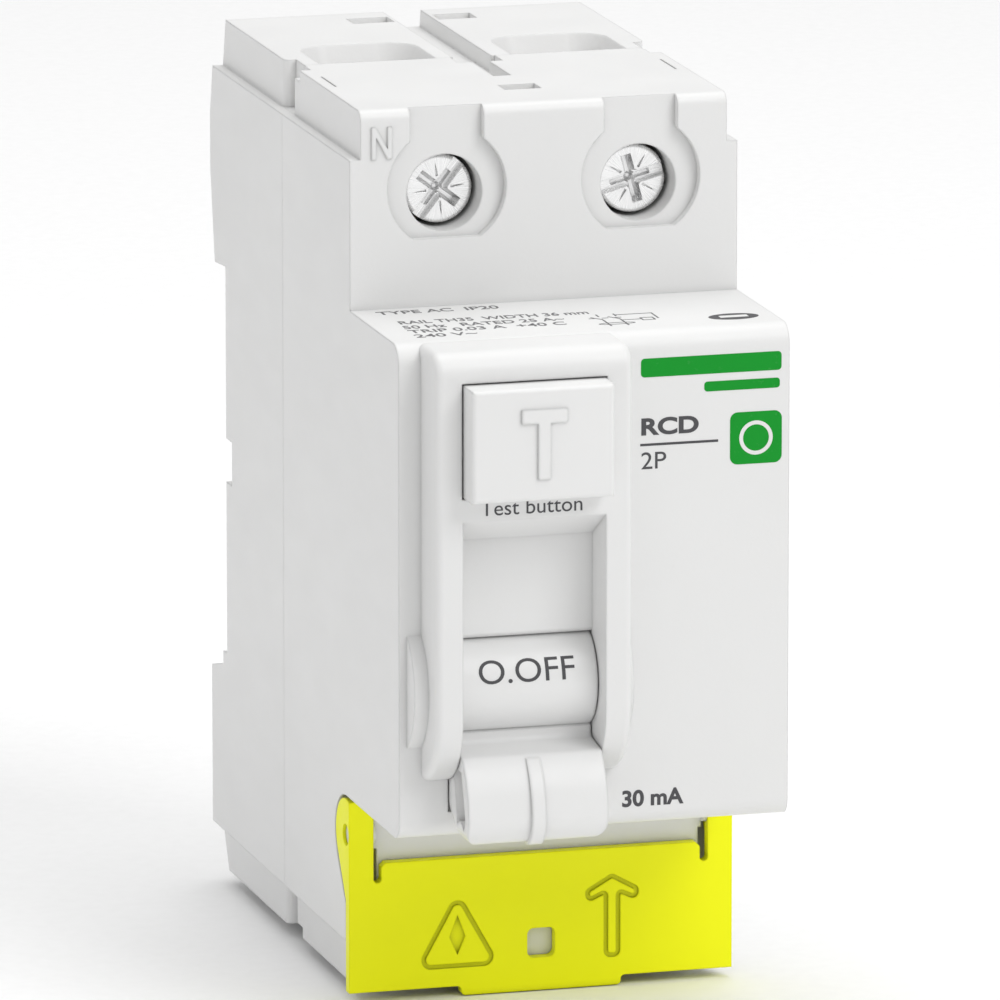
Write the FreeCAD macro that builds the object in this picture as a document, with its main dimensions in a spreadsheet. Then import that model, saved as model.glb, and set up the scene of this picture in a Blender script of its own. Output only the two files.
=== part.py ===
"""Two-pole residual current device for a TH35 mounting rail, as separate pieces.

Frame: the origin is the centre of the rail seat. +X is to the right, +Y is back towards the wall, +Z is up.
Depths are measured forward from the rail seat, so a depth d lies at y = -d. All sizes are in millimetres.
"""
import FreeCAD, Part
import math
import os
import Sketcher

V = FreeCAD.Vector

DIMENSIONS = {
    # case
    "case_width": 36.0,
    "end_inset": 1.0,
    "case_height": 80.8,
    "flank_height": 72.0,
    "seam_depth": 20.6,
    "corner_recess": 1.1,
    "corner_recess_back": 17.8,
    "corner_recess_front": 21.4,
    "shoulder_depth": 44.0,
    "lower_shoulder_depth": 42.0,
    "nose_depth": 60.3,
    "nose_height": 44.8,
    "nose_wall": 1.6,
    "back_wall": 3.6,
    "end_wall": 2.4,
    "cavity_half": 15.4,
    "nose_cavity_half": 16.4,
    "pole_offset": 9.0,
    "rib_half": 0.6,
    # back of the case, where the rail sits
    "back_bulge": 5.4,
    "hook_height": 17.9,
    "hook_lip_front": 1.2,
    "hook_lip_back": 2.7,
    "hook_lip_low": 15.4,
    "lower_land": -18.7,
    # case screws
    "top_screw_height": 27.0,
    "low_screw_side": 13.2,
    "low_screw_height": -23.5,
    "screw_boss": 2.6,
    "low_screw_boss": 2.35,
    "case_screw_shank": 1.0,
    "case_screw_head": 2.1,
    "case_screw_seat": 0.5,
    "case_screw_end": 30.0,
    # terminals
    "screw_height": 32.5,
    "screw_head_radius": 3.15,
    "screw_head_length": 3.2,
    "screw_shank_radius": 2.5,
    "screw_end_depth": 23.2,
    "screw_well_radius": 3.5,
    "screw_sink": 2.0,
    "pocket_depth": 0.9,
    "pocket_radius": 5.5,
    "pocket_height": 33.1,
    "pocket_flat": 28.55,
    "low_pocket_flat": 29.6,
    "pocket_neck": 3.4,
    "cage_low": 28.0,
    "cage_high": 37.0,
    "cage_half": 5.0,
    "cage_back": 10.0,
    "cage_front": 26.0,
    "bar_back": 20.5,
    "bar_front": 22.0,
    "bar_half": 3.7,
    # bezel and handle
    "bezel_depth": 65.4,
    "bezel_left": -15.95,
    "bezel_right": 2.05,
    "bezel_low": -17.0,
    "bezel_turn": -10.5,
    "bezel_radius": 6.7,
    "window_left": -13.5,
    "window_right": -0.4,
    "handle_depth": 58.65,
    "handle_height": -8.5,
    "drum_radius": 4.6,
    "handle_left": -13.38,
    "handle_right": -0.52,
    "axle_radius": 1.0,
    "running_gap": 0.05,
    "boss_depth": 56.6,
    "boss_height": -8.9,
    "boss_radius": 6.3,
    "crank_radius": 5.0,
    "crank_angle": 55.0,
    # test button
    "button_left": -13.45,
    "button_right": -0.45,
    "button_low": 9.55,
    "button_high": 19.65,
    "button_face": 68.3,
    "button_gap": 0.15,
    "button_flange_front": 58.5,
    "button_flange_back": 57.3,
    # terminal flap
    "flap_face": 43.2,
    "flap_thick": 1.1,
    "flap_top": -28.7,
    "flap_bottom": -40.62,
    "flap_tab_bottom": -41.5,
    "flap_tab_half": 7.5,
    "flap_pivot_depth": 42.1,
    "flap_pivot_height": -26.1,
    "flap_peg_radius": 0.95,
    "flap_hole_radius": 1.0,
    "ear_inner": 16.4,
    "ear_radius": 3.35,
    "ear_foot": -6.2,
    "ear_recess": 15.4,
    "strip_inner": 15.7,
    # contacts
    "carrier_depth": 30.0,
    "carrier_height": 0.0,
    "carrier_radius": 3.8,
    "carrier_half": 14.6,
    "carrier_pin_radius": 1.5,
    "carrier_pin_half": 16.1,
    "carrier_open_angle": -25.0,
    "blade_half": 2.5,
    "blade_thick": 1.5,
    "blade_tip": 15.5,
    "link_length": 19.2,
    "link_angle": 14.5,
    # latch
    "trip_depth": 47.7,
    "trip_height": 1.4,
    # rail clip
    "clip_half": 5.0,
    "clip_front": 1.2,
    "clip_back": 3.8,
    "clip_low": -41.4,
    "clip_nose": -16.0,
    "channel_gap": 0.1,
    # summation transformer
    "sensor_depth": 12.0,
    "sensor_height": -2.0,
    "core_outer": 11.0,
    "core_inner": 8.6,
}


class Size:
    """A length that carries its number and the spreadsheet expression that gives it."""

    def __init__(self, value, text):
        self.value = float(value)
        self.text = text

    def __add__(self, other):
        other = as_size(other)
        return Size(self.value + other.value, f"({self.text} + {other.text})")

    def __sub__(self, other):
        other = as_size(other)
        return Size(self.value - other.value, f"({self.text} - {other.text})")

    def __mul__(self, other):
        other = as_size(other)
        return Size(self.value * other.value, f"({self.text} * {other.text})")

    def __truediv__(self, other):
        other = as_size(other)
        return Size(self.value / other.value, f"({self.text} / {other.text})")

    def __radd__(self, other):
        return as_size(other) + self

    def __rsub__(self, other):
        return as_size(other) - self

    def __rmul__(self, other):
        return as_size(other) * self

    def __neg__(self):
        return Size(-self.value, f"(0 - {self.text})")


def as_size(value):
    if isinstance(value, Size):
        return value
    return Size(value, f"({value:.6g})" if value < 0 else f"{value:.6g}")


class Sheet:
    """The driving dimensions, as attributes such as dims.case_width."""

    def __init__(self, doc, values):
        sheet = doc.addObject("Spreadsheet::Sheet", "Sizes")
        for row, (alias, value) in enumerate(values.items(), start=1):
            sheet.set(f"A{row}", alias)
            sheet.set(f"B{row}", str(value))
            sheet.setAlias(f"B{row}", alias)
        for alias, value in values.items():
            setattr(self, alias, Size(value, f"Sizes.{alias}"))


doc = FreeCAD.newDocument("residual_current_device")
dims = Sheet(doc, DIMENSIONS)
doc.recompute()

# Each pole: its name, and the side of the case that it is on.
POLES = (("n", -1), ("l", 1))
HALF_WIDTH = dims.case_width / 2
END_HALF = HALF_WIDTH - dims.end_inset
TOP = dims.case_height / 2
FLANK_TOP = dims.flank_height / 2
NOSE_TOP = dims.nose_height / 2
CAVITY_TOP = TOP - dims.end_wall


# ---------------------------------------------------------------- sketch and feature helpers


def new_body(label):
    body = doc.addObject("PartDesign::Body", "Body_" + label)
    body.Label = label
    body.AllowCompound = True
    return body


def origin_plane(body, role):
    return next(item for item in body.Origin.OriginFeatures if item.Role == role)


def bind(item, path, size):
    item.setExpression(path, as_size(size).text)


def circle(across, along, radius):
    return ("circle", as_size(across), as_size(along), as_size(radius))


def rectangle(low_a, high_a, low_b, high_b):
    return [(low_a, low_b), (high_a, low_b), (high_a, high_b), (low_a, high_b)]


def rounded(low_a, high_a, low_b, high_b, radius):
    """A rectangle with quarter-round corners, drawn anticlockwise."""
    low_a, high_a, low_b, high_b = (as_size(value) for value in (low_a, high_a, low_b, high_b))
    return [
        (low_a + radius, low_b, radius),
        (high_a - radius, low_b),
        (high_a, low_b + radius, radius),
        (high_a, high_b - radius),
        (high_a - radius, high_b, radius),
        (low_a + radius, high_b),
        (low_a, high_b - radius, radius),
        (low_a, low_b + radius),
    ]


def edge_geometry(start, end, radius):
    """A line, or an arc that turns left for a positive radius and right for a negative one."""
    if radius is None:
        return Part.LineSegment(V(*start, 0), V(*end, 0))
    across, along = end[0] - start[0], end[1] - start[1]
    chord = math.hypot(across, along)
    rise = math.sqrt(max(radius * radius - chord * chord / 4, 0.0)) * math.copysign(1, radius)
    centre = ((start[0] + end[0]) / 2 - along / chord * rise, (start[1] + end[1]) / 2 + across / chord * rise)
    first, last = (start, end) if radius > 0 else (end, start)
    angles = [math.atan2(point[1] - centre[1], point[0] - centre[0]) for point in (first, last)]
    if angles[1] <= angles[0]:
        angles[1] += 2 * math.pi
    return Part.ArcOfCircle(Part.Circle(V(*centre, 0), V(0, 0, 1), abs(radius)), *angles)


def fix_point(sketch, geometry, position, across, along):
    for kind, size in (("DistanceX", across), ("DistanceY", along)):
        index = sketch.addConstraint(Sketcher.Constraint(kind, -1, 1, geometry, position, size.value))
        bind(sketch, f"Constraints[{index}]", size)


def draw_circle(sketch, across, along, radius):
    number = sketch.addGeometry(Part.Circle(V(across.value, along.value, 0), V(0, 0, 1), radius.value))
    fix_point(sketch, number, 3, across, along)
    index = sketch.addConstraint(Sketcher.Constraint("Radius", number, radius.value))
    bind(sketch, f"Constraints[{index}]", radius)


def draw_outline(sketch, points):
    """A closed outline. A point's third value, if any, is the radius of the arc that leads to it."""
    corners = [tuple(as_size(value) for value in point) for point in points]
    edges = []
    for here, there in zip(corners, corners[1:] + corners[:1]):
        radius = there[2].value if len(there) > 2 else None
        geometry = edge_geometry((here[0].value, here[1].value), (there[0].value, there[1].value), radius)
        number = sketch.addGeometry(geometry)
        turned = radius is not None and radius < 0
        edges.append((number, 2 if turned else 1, 1 if turned else 2))
        if radius is not None:
            index = sketch.addConstraint(Sketcher.Constraint("Radius", number, abs(radius)))
            bind(sketch, f"Constraints[{index}]", -there[2] if turned else there[2])
    for (number, start, end), (following, joined, _), here in zip(edges, edges[1:] + edges[:1], corners):
        sketch.addConstraint(Sketcher.Constraint("Coincident", number, end, following, joined))
        fix_point(sketch, number, start, here[0], here[1])


def new_sketch(body, name, plane, level, loops):
    sketch = body.newObject("Sketcher::SketchObject", name + "_sketch")
    sketch.AttachmentSupport = [(origin_plane(body, plane), "")]
    sketch.MapMode = "FlatFace"
    bind(sketch, "AttachmentOffset.Base.z", level)
    for loop in loops:
        if loop[0] == "circle":
            draw_circle(sketch, *loop[1:])
        else:
            draw_outline(sketch, loop)
    return sketch


def pad(body, name, plane, low, high, *loops):
    """Adds material between two levels along the plane's normal (for XZ_Plane these are depths)."""
    feature = body.newObject("PartDesign::Pad", name)
    feature.Profile = new_sketch(body, name, plane, low, loops)
    bind(feature, "Length", as_size(high) - low)
    return feature


def pocket(body, name, plane, low, high, *loops):
    """Removes material between two levels along the plane's normal (for XZ_Plane these are depths)."""
    feature = body.newObject("PartDesign::Pocket", name)
    feature.Profile = new_sketch(body, name, plane, high, loops)
    bind(feature, "Length", as_size(high) - low)
    return feature


def mirror(body, name, features, plane):
    feature = body.newObject("PartDesign::Mirrored", name)
    feature.Originals = features
    feature.MirrorPlane = (origin_plane(body, plane), [""])
    body.Tip = feature
    return feature


def edges_at(shape, **where):
    """Names of the edges that lie at the given x, y or z; a pair of numbers is a range to lie within."""
    found = []
    for number, edge in enumerate(shape.Edges, start=1):
        box = edge.BoundBox
        spans = {"x": (box.XMin, box.XMax), "y": (box.YMin, box.YMax), "z": (box.ZMin, box.ZMax)}
        limits = {}
        for axis, value in where.items():
            low, high = value if isinstance(value, tuple) else (value, value)
            limits[axis] = (as_size(low).value - 0.01, as_size(high).value + 0.01)
        if all(limits[axis][0] <= spans[axis][0] and spans[axis][1] <= limits[axis][1] for axis in limits):
            found.append(f"Edge{number}")
    return found


def soften(body, name, kind, size, *places):
    """Rounds or bevels the edges at the given places. kind is Fillet or Chamfer."""
    doc.recompute()
    tip = body.Tip
    names = []
    for where in places:
        names += [edge for edge in edges_at(tip.Shape, **where) if edge not in names]
    if not names:
        raise ValueError(f"{body.Label}: {name} found no edge")
    feature = body.newObject("PartDesign::" + kind, name)
    feature.Base = (tip, names)
    bind(feature, "Radius" if kind == "Fillet" else "Size", size)
    return feature


def place(body, across=0, back=0, up=0, axis=None, degrees=0.0):
    """Puts a body drawn about its own origin at its place in the assembly."""
    if axis is not None:
        body.Placement = FreeCAD.Placement(V(0, 0, 0), FreeCAD.Rotation(V(*axis), as_size(degrees).value))
    for path, size in (("x", across), ("y", back), ("z", up)):
        bind(body, "Placement.Base." + path, size)


def spring(label, mean_radius, wire_radius, length, turns):
    """A coil spring drawn up its own Z axis from z = 0."""
    body = new_body(label)
    feature = body.newObject("PartDesign::AdditiveHelix", label + "_coil")
    profile = new_sketch(body, label, "XZ_Plane", 0, [circle(mean_radius, 0, wire_radius)])
    feature.Profile = profile
    feature.ReferenceAxis = (profile, ["V_Axis"])
    feature.Mode = 0
    feature.Pitch = length / turns
    feature.Height = length
    return body


def wires(label, radius, *paths):
    """Round wires, each swept along a smooth curve through its points."""
    solids = []
    for points in paths:
        curve = Part.BSplineCurve()
        curve.interpolate([V(*point) for point in points])
        spine = Part.Wire(curve.toShape())
        start = curve.tangent(curve.FirstParameter)[0]
        ring = Part.Wire(Part.makeCircle(radius, V(*points[0]), start))
        solids.append(spine.makePipeShell([ring], True, True))
    item = doc.addObject("Part::Feature", "Wire_" + label)
    item.Label = label
    item.Shape = solids[0] if len(solids) == 1 else Part.makeCompound(solids)
    item.Placement = FreeCAD.Placement()
    return item


# ---------------------------------------------------------------- case shells


def back_line(half_lip):
    """The back of the case in (y, z), from the upper to the lower flank end."""
    line = [
        (4.4, FLANK_TOP),
        (dims.back_bulge, 31.5),
        (dims.back_bulge, 26),
        (3.9, dims.hook_height - 0.3),
    ]
    if half_lip:
        line += [
            (dims.hook_lip_back, dims.hook_height - 0.6),
            (dims.hook_lip_back, dims.hook_lip_low),
            (dims.hook_lip_front, dims.hook_lip_low),
            (dims.hook_lip_front, dims.hook_height),
        ]
    line += [
        (0, dims.hook_height),
        (0, dims.lower_land),
        (1.45, dims.lower_land - 0.1),
        (1.45, dims.lower_land - 1.3),
        (dims.back_bulge + 0.25, dims.lower_land - 2.3),
        (dims.back_bulge + 0.2, -FLANK_TOP),
    ]
    return line


def build_rear_case():
    body = new_body("rear_case")
    seam = -dims.seam_depth
    ends = [(seam, TOP), (3.4, TOP)] + back_line(True) + [(3.4, -TOP), (seam, -TOP)]
    pad(body, "RearBlock", "YZ_Plane", -END_HALF, END_HALF, ends)
    flank = [(seam, FLANK_TOP)] + back_line(False) + [(seam, -FLANK_TOP)]
    pad(body, "RearFlanks", "YZ_Plane", -HALF_WIDTH, HALF_WIDTH, flank)
    pocket(body, "Cavity", "XZ_Plane", dims.back_wall, dims.seam_depth,
           rectangle(-dims.cavity_half, dims.cavity_half, -CAVITY_TOP, CAVITY_TOP))
    pad(body, "PoleRibs", "XZ_Plane", dims.back_wall - 0.2, dims.seam_depth,
        rectangle(-dims.rib_half, dims.rib_half, 12, CAVITY_TOP + 0.2),
        rectangle(-dims.rib_half, dims.rib_half, -CAVITY_TOP - 0.2, -25))
    build_screw_bosses(body, dims.back_wall - 0.2, dims.seam_depth)
    screw_holes(body, "ScrewHoles", -7, dims.seam_depth + 0.1, dims.case_screw_shank + 0.3)
    screw_holes(body, "HeadSinks", -7, dims.case_screw_seat, dims.case_screw_head + 0.2)
    build_bearing_tongues(body)
    build_clip_channel(body)
    notch = [rectangle(14 * side, 18.5 * side, -2.4, 1.7) for side in (-1, 1)]
    pocket(body, "SideNotches", "XZ_Plane", -0.5, 2.1, *notch)
    build_rear_top(body)
    return body


def case_screw_places():
    return [
        (0, dims.top_screw_height, dims.screw_boss),
        (-dims.low_screw_side, dims.low_screw_height, dims.low_screw_boss),
        (dims.low_screw_side, dims.low_screw_height, dims.low_screw_boss),
    ]


def build_screw_bosses(body, low, high):
    for number, (across, up, radius) in enumerate(case_screw_places()):
        pad(body, f"ScrewBoss{number}", "XZ_Plane", low, high, circle(across, up, radius))


def screw_holes(body, name, low, high, radius):
    loops = [circle(across, up, radius) for across, up, _ in case_screw_places()]
    return pocket(body, name, "XZ_Plane", low, high, *loops)


def build_bearing_tongues(body):
    """Two tongues that reach into the cover and hold the ends of the carrier pin."""
    front = dims.carrier_depth + 3.5
    outline = rectangle(-front, -(dims.seam_depth - 2.5), dims.carrier_height - 4, dims.carrier_height + 4)
    for name, low, high in (("Left", -16.3, -15.0), ("Right", 15.0, 16.3)):
        pad(body, "Tongue" + name, "YZ_Plane", low, high, outline)
    hole = circle(-dims.carrier_depth, dims.carrier_height, dims.carrier_pin_radius + dims.running_gap)
    for name, low, high in (("Left", -16.4, -14.9), ("Right", 14.9, 16.4)):
        pocket(body, "PinHole" + name, "YZ_Plane", low, high, hole)


def build_clip_channel(body):
    gap = dims.channel_gap
    half = dims.clip_half + gap
    pocket(body, "ClipChannel", "XY_Plane", -TOP - 1, dims.lower_land + 0.2,
           rectangle(-half, half, dims.clip_front - gap, dims.clip_back + gap))
    pad(body, "SpringPeg", "XZ_Plane", -dims.clip_back - 0.3, -dims.clip_front + 0.3,
        rectangle(-1.6, 1.6, -35, -33.5))


def build_rear_top(body):
    """What is moulded into the upper end and repeated at the lower end, and the block's rounded corners."""
    pole = dims.pole_offset
    rim = 5.5
    features = [corner_recesses(body, -dims.seam_depth - 0.1, -dims.corner_recess_back)]
    for number, side in enumerate((-1, 1)):
        centre = pole * side
        entry = [
            (centre - rim, -22),
            (centre + rim, -22),
            (centre + rim, -14.5),
            (centre + rim - 3, -11.5, 3),
            (centre - rim + 3, -11.5),
            (centre - rim, -14.5, 3),
        ]
        feature = pocket(body, f"CableEntry{number}", "XY_Plane", CAVITY_TOP - 0.1, TOP, entry)
        feature.TaperAngle = -30
        features.append(feature)
    features.append(pocket(body, "PoleSlot", "XY_Plane", TOP - 1.6, TOP, rectangle(-1.95, 1.65, -21, 6)))
    shallow = [rectangle(-6.2, -2.3, -1.8, 0.8), rectangle(2.0, 5.6, -1.8, 0.8)]
    features.append(pocket(body, "ShallowPockets", "XY_Plane", TOP - 0.8, TOP, *shallow))
    mirror(body, "LowerEnd", features, "XY_Plane")
    corners = [{"x": side * END_HALF, "y": -dims.corner_recess_back, "z": span}
               for side in (-1, 1) for span in ((FLANK_TOP, TOP), (-TOP, -FLANK_TOP))]
    soften(body, "BlockCorners", "Fillet", 0.7, *corners)


def corner_recesses(body, front, back):
    """Cuts the part of the two corner recesses beside the seam that lies in this shell."""
    inner, outer = END_HALF - dims.corner_recess, END_HALF + 0.1
    return pocket(body, "CornerRecesses", "XY_Plane", FLANK_TOP + 0.02, TOP,
                  rectangle(-outer, -inner, front, back), rectangle(inner, outer, front, back))


def build_front_cover():
    body = new_body("front_cover")
    seam = -dims.seam_depth
    nose, shoulder, lower = -dims.nose_depth, -dims.shoulder_depth, -dims.lower_shoulder_depth

    def side_outline(end):
        return [(seam, -end), (lower, -end), (lower, -NOSE_TOP), (nose, -NOSE_TOP), (nose, NOSE_TOP),
                (shoulder, NOSE_TOP), (shoulder, end), (seam, end)]

    pad(body, "CoverBlock", "YZ_Plane", -END_HALF, END_HALF, side_outline(TOP))
    pad(body, "CoverFlanks", "YZ_Plane", -HALF_WIDTH, HALF_WIDTH, side_outline(FLANK_TOP))
    soften(body, "NoseTopEdge", "Fillet", 1.8, {"y": nose, "z": NOSE_TOP})
    soften(body, "NoseLowEdge", "Fillet", 1.5, {"y": nose, "z": -NOSE_TOP})
    soften(body, "ShoulderEdge", "Fillet", 1.0, {"y": shoulder, "z": TOP}, {"y": lower, "z": -TOP})
    cavities = (
        ("Main", dims.seam_depth, 36, dims.cavity_half, -CAVITY_TOP, CAVITY_TOP),
        ("Upper", 35.9, dims.shoulder_depth - dims.nose_wall, dims.cavity_half, 20, CAVITY_TOP),
        ("Lower", 35.9, dims.lower_shoulder_depth - dims.nose_wall, 13.5, -CAVITY_TOP, -20),
    )
    nose_in = NOSE_TOP - dims.nose_wall
    for name, low, high, half, floor, ceiling in cavities:
        pocket(body, "Cavity" + name, "XZ_Plane", low, high, rectangle(-half, half, floor, ceiling))
    pocket(body, "CavityNose", "XZ_Plane", dims.seam_depth, dims.nose_depth - dims.nose_wall,
           rectangle(-dims.nose_cavity_half, dims.nose_cavity_half, -nose_in, nose_in))
    pad(body, "PoleRibs", "XZ_Plane", dims.seam_depth, dims.lower_shoulder_depth - 1,
        rectangle(-dims.rib_half, dims.rib_half, 22, CAVITY_TOP + 0.2),
        rectangle(-dims.rib_half, dims.rib_half, -CAVITY_TOP - 0.2, -25))
    build_screw_bosses(body, dims.seam_depth, dims.lower_shoulder_depth - 1)
    screw_holes(body, "ScrewHoles", dims.seam_depth - 0.1, 32, dims.case_screw_shank + 0.03)
    build_bezel(body)
    build_screw_wells(body)
    build_flap_seat(body)
    build_cover_top(body)
    build_neutral_mark(body)
    return body


def build_bezel(body):
    front, back = -dims.bezel_depth, -dims.nose_depth + 0.8
    profile = [
        (back, dims.bezel_low),
        (-dims.nose_depth, dims.bezel_low),
        (front, dims.bezel_turn, -dims.bezel_radius),
        (front, NOSE_TOP - 2),
        (front + 2, NOSE_TOP, -2),
        (back, NOSE_TOP),
    ]
    pad(body, "Bezel", "YZ_Plane", dims.bezel_left, dims.bezel_right, profile)
    soften(body, "BezelSides", "Fillet", 0.7,
           {"x": dims.bezel_left, "y": front}, {"x": dims.bezel_right, "y": front})
    centre_y, centre_z, radius = -dims.boss_depth, dims.boss_height, dims.boss_radius
    chord_back = 2.6
    half_chord = 5.74
    boss = [
        (centre_y + chord_back, centre_z + half_chord),
        (centre_y - radius, centre_z, radius),
        (centre_y + chord_back, centre_z - half_chord, radius),
    ]
    pad(body, "BossLeft", "YZ_Plane", -17.27, dims.window_left, boss)
    pad(body, "BossRight", "YZ_Plane", dims.window_right, 2.95, boss)
    pad(body, "GripWell", "XZ_Plane", 56.0, dims.nose_depth - dims.nose_wall + 0.1,
        rectangle(dims.window_left - 1.4, dims.window_right + 1.4, -21.2, -13.3))
    opening = [
        (-66.5, 8.0),
        (-61.0, 4.8),
        (-61.0, -3.85),
        (-60.75, -4.15),
        (-58.0, -3.7),
        (-58.0, -13.0),
        (-57.5, -13.0),
        (-57.5, -17.3),
        (-59.6, -20.0),
        (-66.5, -20.0),
    ]
    pocket(body, "HandleOpening", "YZ_Plane", dims.window_left, dims.window_right, opening)
    gap = dims.button_gap
    left, right = dims.button_left - gap, dims.button_right + gap
    pocket(body, "ButtonOpening", "XZ_Plane", 58.0, dims.bezel_depth + 0.1,
           rectangle(left, right, dims.button_low - gap, dims.button_high + gap))
    hole = circle(-dims.handle_depth, dims.handle_height, dims.axle_radius + dims.running_gap)
    pocket(body, "AxleHoleLeft", "YZ_Plane", -16.4, dims.window_left + 0.1, hole)
    pocket(body, "AxleHoleRight", "YZ_Plane", dims.window_right - 0.1, 2.4, hole)


def between(first, second):
    """Two sizes, the lower one first."""
    return sorted((as_size(first), as_size(second)), key=lambda size: size.value)


def keyhole(centre, sign):
    """A terminal pocket: a disc with a flat, and a neck that runs out over the end of the case."""
    rise = math.sqrt(dims.pocket_radius.value ** 2 - dims.pocket_neck.value ** 2)
    flat = dims.pocket_flat if sign > 0 else dims.low_pocket_flat
    drop = (dims.pocket_height - flat).value
    half_flat = math.sqrt(dims.pocket_radius.value ** 2 - drop ** 2)
    neck, radius = dims.pocket_neck, dims.pocket_radius * sign
    return [
        (centre - neck, (TOP + 0.5) * sign),
        (centre - neck, (dims.pocket_height + rise) * sign),
        (centre - half_flat, flat * sign, radius),
        (centre + half_flat, flat * sign),
        (centre + neck, (dims.pocket_height + rise) * sign, radius),
        (centre + neck, (TOP + 0.5) * sign),
    ]


def build_screw_wells(body):
    """The four wells that the terminal screws sit in, each under a keyhole-shaped pocket."""
    for end, face, sign in (("Top", dims.shoulder_depth, 1), ("Low", dims.lower_shoulder_depth, -1)):
        for pole, side in POLES:
            name = end + pole.upper()
            centre = dims.pole_offset * side
            up = dims.screw_height * sign
            above = face + 0.1
            well = circle(centre, up, dims.screw_well_radius)
            pad(body, "Well" + name, "XZ_Plane", 37, face - 1, circle(centre, up, 4.4))
            pocket(body, "Pocket" + name, "XZ_Plane", face - dims.pocket_depth, above, keyhole(centre, sign))
            pocket(body, "WellHole" + name, "XZ_Plane", 36.5, above, well)


def build_flap_seat(body):
    """The side recesses that the flap's ears swing in, and the pegs that they turn on."""
    pivot_y, pivot_z = -dims.flap_pivot_depth, dims.flap_pivot_height
    under_ear = [
        (pivot_y - 0.2, pivot_z),
        (pivot_y + 3.4, pivot_z - 1.3),
        (pivot_y + 3.0, pivot_z - 2.4),
        (pivot_y + 1.7, pivot_z - 4.2),
        (pivot_y - 0.2, pivot_z - 6.8),
    ]
    for name, side in (("Left", -1), ("Right", 1)):
        low, high = between(dims.ear_recess * side, (HALF_WIDTH + 0.2) * side)
        pocket(body, "EarRecess" + name, "YZ_Plane", low, high, circle(pivot_y, pivot_z, 3.65))
        pocket(body, "UnderEar" + name, "YZ_Plane", low, high, under_ear)
        low, high = between((dims.ear_recess - 0.02) * side, (HALF_WIDTH - 0.3) * side)
        pad(body, "Peg" + name, "YZ_Plane", low, high, circle(pivot_y, pivot_z, dims.flap_peg_radius))
        low, high = between(15.1 * side, 15.75 * side)
        shoulder = dims.lower_shoulder_depth
        pocket(body, "StripRecess" + name, "XZ_Plane", shoulder - 1, shoulder + 0.1,
               rectangle(low, high, -31.0, -27.6))


def build_cover_top(body):
    """Slots and notches moulded into the upper end, repeated at the lower end."""
    seam = -dims.seam_depth
    features = [
        pocket(body, "TopSlot", "XY_Plane", TOP - 1.6, TOP,
               [(-2.2, seam + 0.2), (-2.2, -23.3), (-0.9, -23.3), (-0.9, -30.5), (0.75, -30.5), (0.75, -23.3),
                (2.0, -23.3), (2.0, seam + 0.2)]),
        pocket(body, "SnapWindow", "XY_Plane", TOP - 1.4, TOP, rectangle(-1.75, 1.65, -37.3, -34.9)),
        pocket(body, "ThinSlots", "XY_Plane", TOP - 0.5, TOP,
               rectangle(-16.0, -15.85, -31.7, -26.6), rectangle(15.85, 16.0, -31.7, -26.6)),
        corner_recesses(body, -dims.corner_recess_front, seam + 0.1),
        pocket(body, "CornerNotches", "XY_Plane", TOP - 1, TOP,
               rectangle(-END_HALF - 0.1, -END_HALF + 1, -23.2, -21.3),
               rectangle(END_HALF - 1, END_HALF + 0.1, -23.2, -21.3)),
    ]
    mirror(body, "LowerEnd", features, "XY_Plane")


def build_neutral_mark(body):
    """A raised letter N beside the neutral terminal."""
    left, right, low, high, stroke = -16.0, -14.1, 36.0, 38.9, 0.42
    letter = [
        (left, low), (left + stroke, low), (left + stroke, high - 0.9), (right - stroke, low),
        (right, low), (right, high), (right - stroke, high), (right - stroke, low + 0.9),
        (left + stroke, high), (left, high),
    ]
    pad(body, "NeutralMark", "XZ_Plane", dims.shoulder_depth - 0.1, dims.shoulder_depth + 0.2, letter)


def build_case_screws():
    body = new_body("case_screws")
    loops = [circle(across, up, dims.case_screw_shank) for across, up, _ in case_screw_places()]
    pad(body, "Shanks", "XZ_Plane", dims.case_screw_seat, dims.case_screw_end, *loops)
    loops = [circle(across, up, dims.case_screw_head) for across, up, _ in case_screw_places()]
    pad(body, "Heads", "XZ_Plane", dims.case_screw_seat - 1.5, dims.case_screw_seat, *loops)
    slots = []
    for across, up, _ in case_screw_places():
        up = as_size(up)
        across = as_size(across)
        slots.append(rectangle(across - 1.3, across + 1.3, up - 0.25, up + 0.25))
    pocket(body, "DriveSlots", "XZ_Plane", dims.case_screw_seat - 1.6, dims.case_screw_seat - 0.7, *slots)


# ---------------------------------------------------------------- handle and link


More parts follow.
